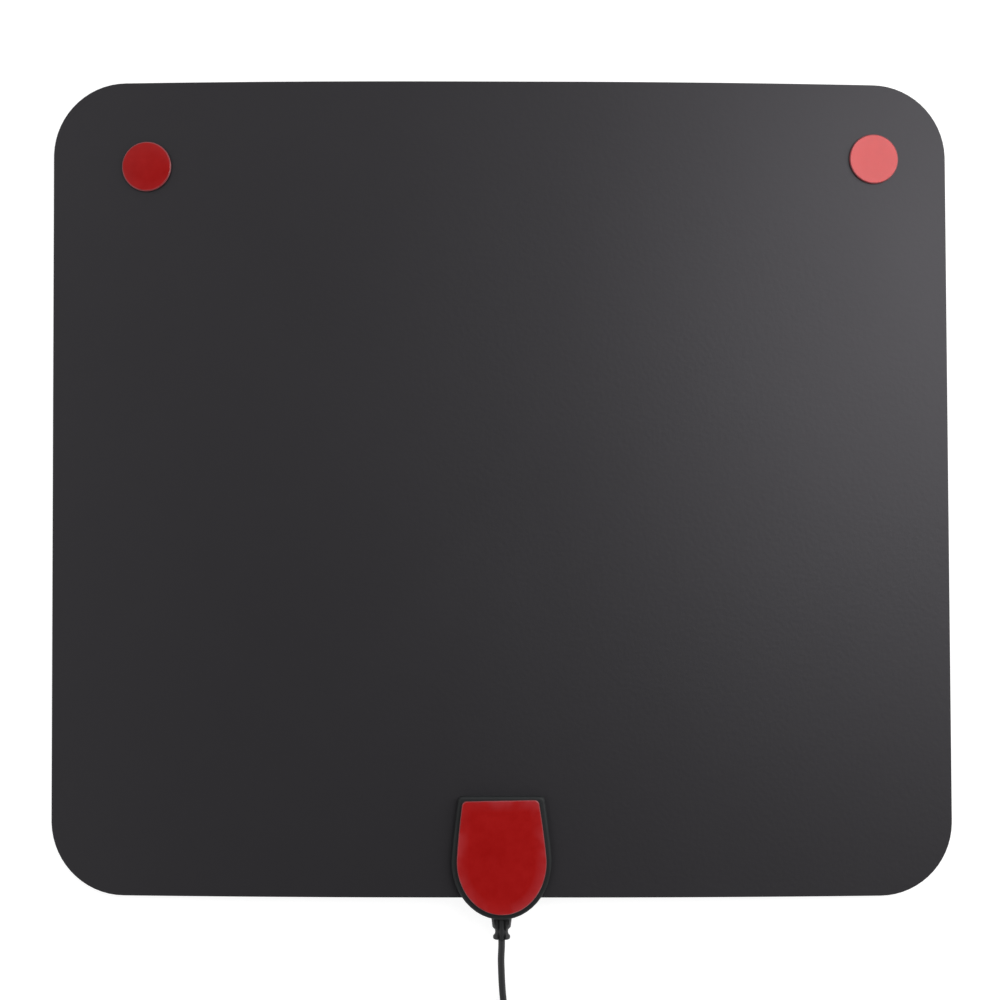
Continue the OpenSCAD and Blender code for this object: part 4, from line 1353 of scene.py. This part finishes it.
@dataclass
class Plug:
    """The plug on the cord's far end: moulded grip, metal sleeve, insulator and pin."""

    start: Place = (-65.0, -239.0, 5.5)
    boot_length: float = 9.0
    grip_length: float = 21.0
    boot_radius: float = 2.2
    boot_edge: float = 0.3
    shoulder: tuple[Flat, ...] = ((4.3, 7.6), (4.8, 8.3), (5.3, 8.8), (5.5, 9.4))
    grip_radius: float = 5.5
    grip_edge: float = 0.2
    groove_depth: float = 0.5
    groove_start: float = 1.8
    groove_step: float = 2.4
    groove_width: float = 1.2
    grooves: int = 4
    seat_radius: float = 4.5
    seat_depth: float = 6.0

    def ribs_tree(self) -> Nodes:
        """Builds the tree that sets rounded rings along the grip, and returns it."""
        t = new_group(
            "grip_ribs", "GeometryNodeTree",
            {"Count": "Int", "Step": "Float", "Start": "Float", "Radius": "Float", "Half width": "Float",
             "Depth": "Float", "Material": "Material"},
            {"Mesh": "Geometry"},
        )
        given = t.node("NodeGroupInput").outputs
        ring = t.node("GeometryNodeCurvePrimitiveCircle", {"Resolution": 72, "Radius": given["Radius"]})
        section = t.node("GeometryNodeCurvePrimitiveCircle", {"Resolution": 16, "Radius": 1.0})
        size = t.node("ShaderNodeCombineXYZ", {"X": given["Depth"], "Y": given["Half width"], "Z": 1.0})
        flat = t.node("GeometryNodeTransform", {"Geometry": section.outputs[0], "Scale": size.outputs[0]})
        rib = t.node("GeometryNodeCurveToMesh", {"Curve": ring.outputs[0], "Profile Curve": flat.outputs[0]})
        first = t.node("ShaderNodeCombineXYZ", {"Z": given["Start"]}).outputs[0]
        step = t.node("ShaderNodeCombineXYZ", {"Z": given["Step"]}).outputs[0]
        spaced = {"Count": given["Count"], "Start Location": first, "Offset": step}
        line = t.node("GeometryNodeMeshLine", spaced).outputs[0]
        copies = t.node("GeometryNodeInstanceOnPoints", {"Points": line, "Instance": rib.outputs[0]})
        t.dressed(copies.outputs[0], given["Material"])
        return t.tree

    def build(self) -> list[Piece]:
        """Makes the grip, and returns the plug's pieces."""
        place = Matrix.Translation(Vector(self.start) * MM) @ Matrix.Rotation(-math.pi / 2, 4, "Y")
        gap = self.groove_step - self.groove_width
        whole = self.boot_length + self.grip_length
        inner, soft = self.grip_radius - self.groove_depth, self.grip_edge
        first = self.boot_length + self.groove_start
        last = first + (self.grooves - 1) * self.groove_step + self.groove_width
        profile = [
            (AXIS_GAP, 0.0), (self.boot_radius - self.boot_edge, 0.0), (self.boot_radius, self.boot_edge),
            *self.shoulder, (self.grip_radius, first - soft), (inner, first), (inner, last),
            (self.grip_radius, last + soft), (self.grip_radius, whole - soft * 3),
            (self.grip_radius - soft, whole - soft), (self.grip_radius - soft * 3, whole),
            (self.seat_radius, whole), (self.seat_radius, whole - self.seat_depth),
            (AXIS_GAP, whole - self.seat_depth),
        ]
        body = lathe("plug_body", profile, place)
        ribs = grown(self.ribs_tree(), {
            "Count": self.grooves - 1, "Step": self.groove_step * MM,
            "Start": (first + self.groove_width + gap / 2) * MM,
            "Radius": inner * MM, "Half width": gap / 2 * MM,
            "Depth": self.groove_depth * MM, "Material": PLUG_PLASTIC.material(),
        })
        ribs.transform(place)
        grip = add_piece("plug_handle", joined("plug_handle", [body, ribs]), PLUG_PLASTIC, "plug_grip")
        return [grip, *(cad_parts[n] for n in ("plug_sleeve", "plug_insulator", "plug_pin"))]


# Tie

@dataclass
class CoilTie:
    """The strap that holds the coil."""

    centre: Flat = (-28.0, -214.0)
    angle: float = 135.0
    mean_radius: float = 24.0
    half: Flat = (6.5, 5.2)
    corner: float = 1.6
    thickness: float = 0.5
    width: float = 7.0
    soft_edge: float = 0.03
    half_shares: Flat = (0.47, 0.49)
    quarter_steps: int = 8
    sharp_angle: float = 50.0

    def section(self, inset: float) -> list[Flat]:
        """Gives the strap's section at an inset, as offsets from the coil's middle and heights."""
        r = self.corner - inset
        made = []
        for quarter, (sx, sz) in enumerate([(1, 1), (-1, 1), (-1, -1), (1, -1)]):
            for i in range(self.quarter_steps + 1):
                a = math.pi / 2 * (quarter + i / self.quarter_steps)
                made.append((
                    sx * (self.half[0] - self.corner) + r * math.cos(a),
                    self.half[1] + sz * (self.half[1] - self.corner) + r * math.sin(a),
                ))
        return made

    def build(self) -> Piece:
        """Makes the strap as one closed loop with softened edges."""
        thick, soft, (face, side) = self.thickness, self.soft_edge, self.half_shares
        levels = [
            (0.0, -face), (0.0, face), (soft, side), (thick - soft, side), (thick, face),
            (thick, -face), (thick - soft, -side), (soft, -side),
        ]
        rings = [[(x, self.width * along, z) for x, z in self.section(inset)] for inset, along in levels]
        points = [Vector((self.mean_radius + x, y, z)) * MM for ring in rings for x, y, z in ring]
        mesh = bpy.data.meshes.new("tie")
        mesh.from_pydata(points, [], bands(len(rings), len(rings[0]), True))
        shape = bmesh.new()
        shape.from_mesh(mesh)
        bmesh.ops.recalc_face_normals(shape, faces=shape.faces)
        shape.to_mesh(mesh)
        shape.free()
        turn = Matrix.Rotation(math.radians(self.angle), 4, "Z")
        mesh.transform(Matrix.Translation(Vector((*self.centre, 0.0)) * MM) @ turn)
        return add_piece("tie", smooth(mesh, self.sharp_angle), TIE, "coil_tie")


# Inner and carried-over parts

@dataclass
class CarriedParts:
    """The CAD nodes that keep their shape and only get their finish."""

    finishes: dict[str, Finish] = field(default_factory=lambda: {
        "element_left": FOIL, "element_right": FOIL, "shell_screws": SCREW_STEEL,
        "circuit_board": BOARD, "element_eyelets": BRASS, "balun_core": FERRITE, "balun_winding": ENAMEL,
        "chip_parts": CHIP, "cable_sheath_end": CORD_SHEATH, "cable_braid": BRAID,
        "cable_insulation": INSULATION, "cable_inner_wire": INNER_WIRE, "solder_joints": SOLDER,
        "plug_sleeve": PLUG_METAL, "plug_insulator": PLUG_WHITE, "plug_pin": PLUG_METAL,
    })

    def dress(self) -> None:
        """Gives each node its finish."""
        for name, finish in self.finishes.items():
            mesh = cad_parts[name].data
            mesh.materials.clear()
            mesh.materials.append(finish.material())
            log.info("dressed %s", name)


def main() -> None:
    """Builds every sub-assembly in order and reports it."""
    logging.basicConfig(level=logging.INFO, format="%(message)s")
    Studio().build()
    tie = CoilTie().build()
    Cord().build([tie, *Plug().build()])
    sheet = FilmSheet()
    sheet.build()
    housing = Housing()
    housing.build()
    Pads(sheet, housing).build()
    StrainRelief().build()
    CarriedParts().dress()


if __name__ == "__main__":
    main()
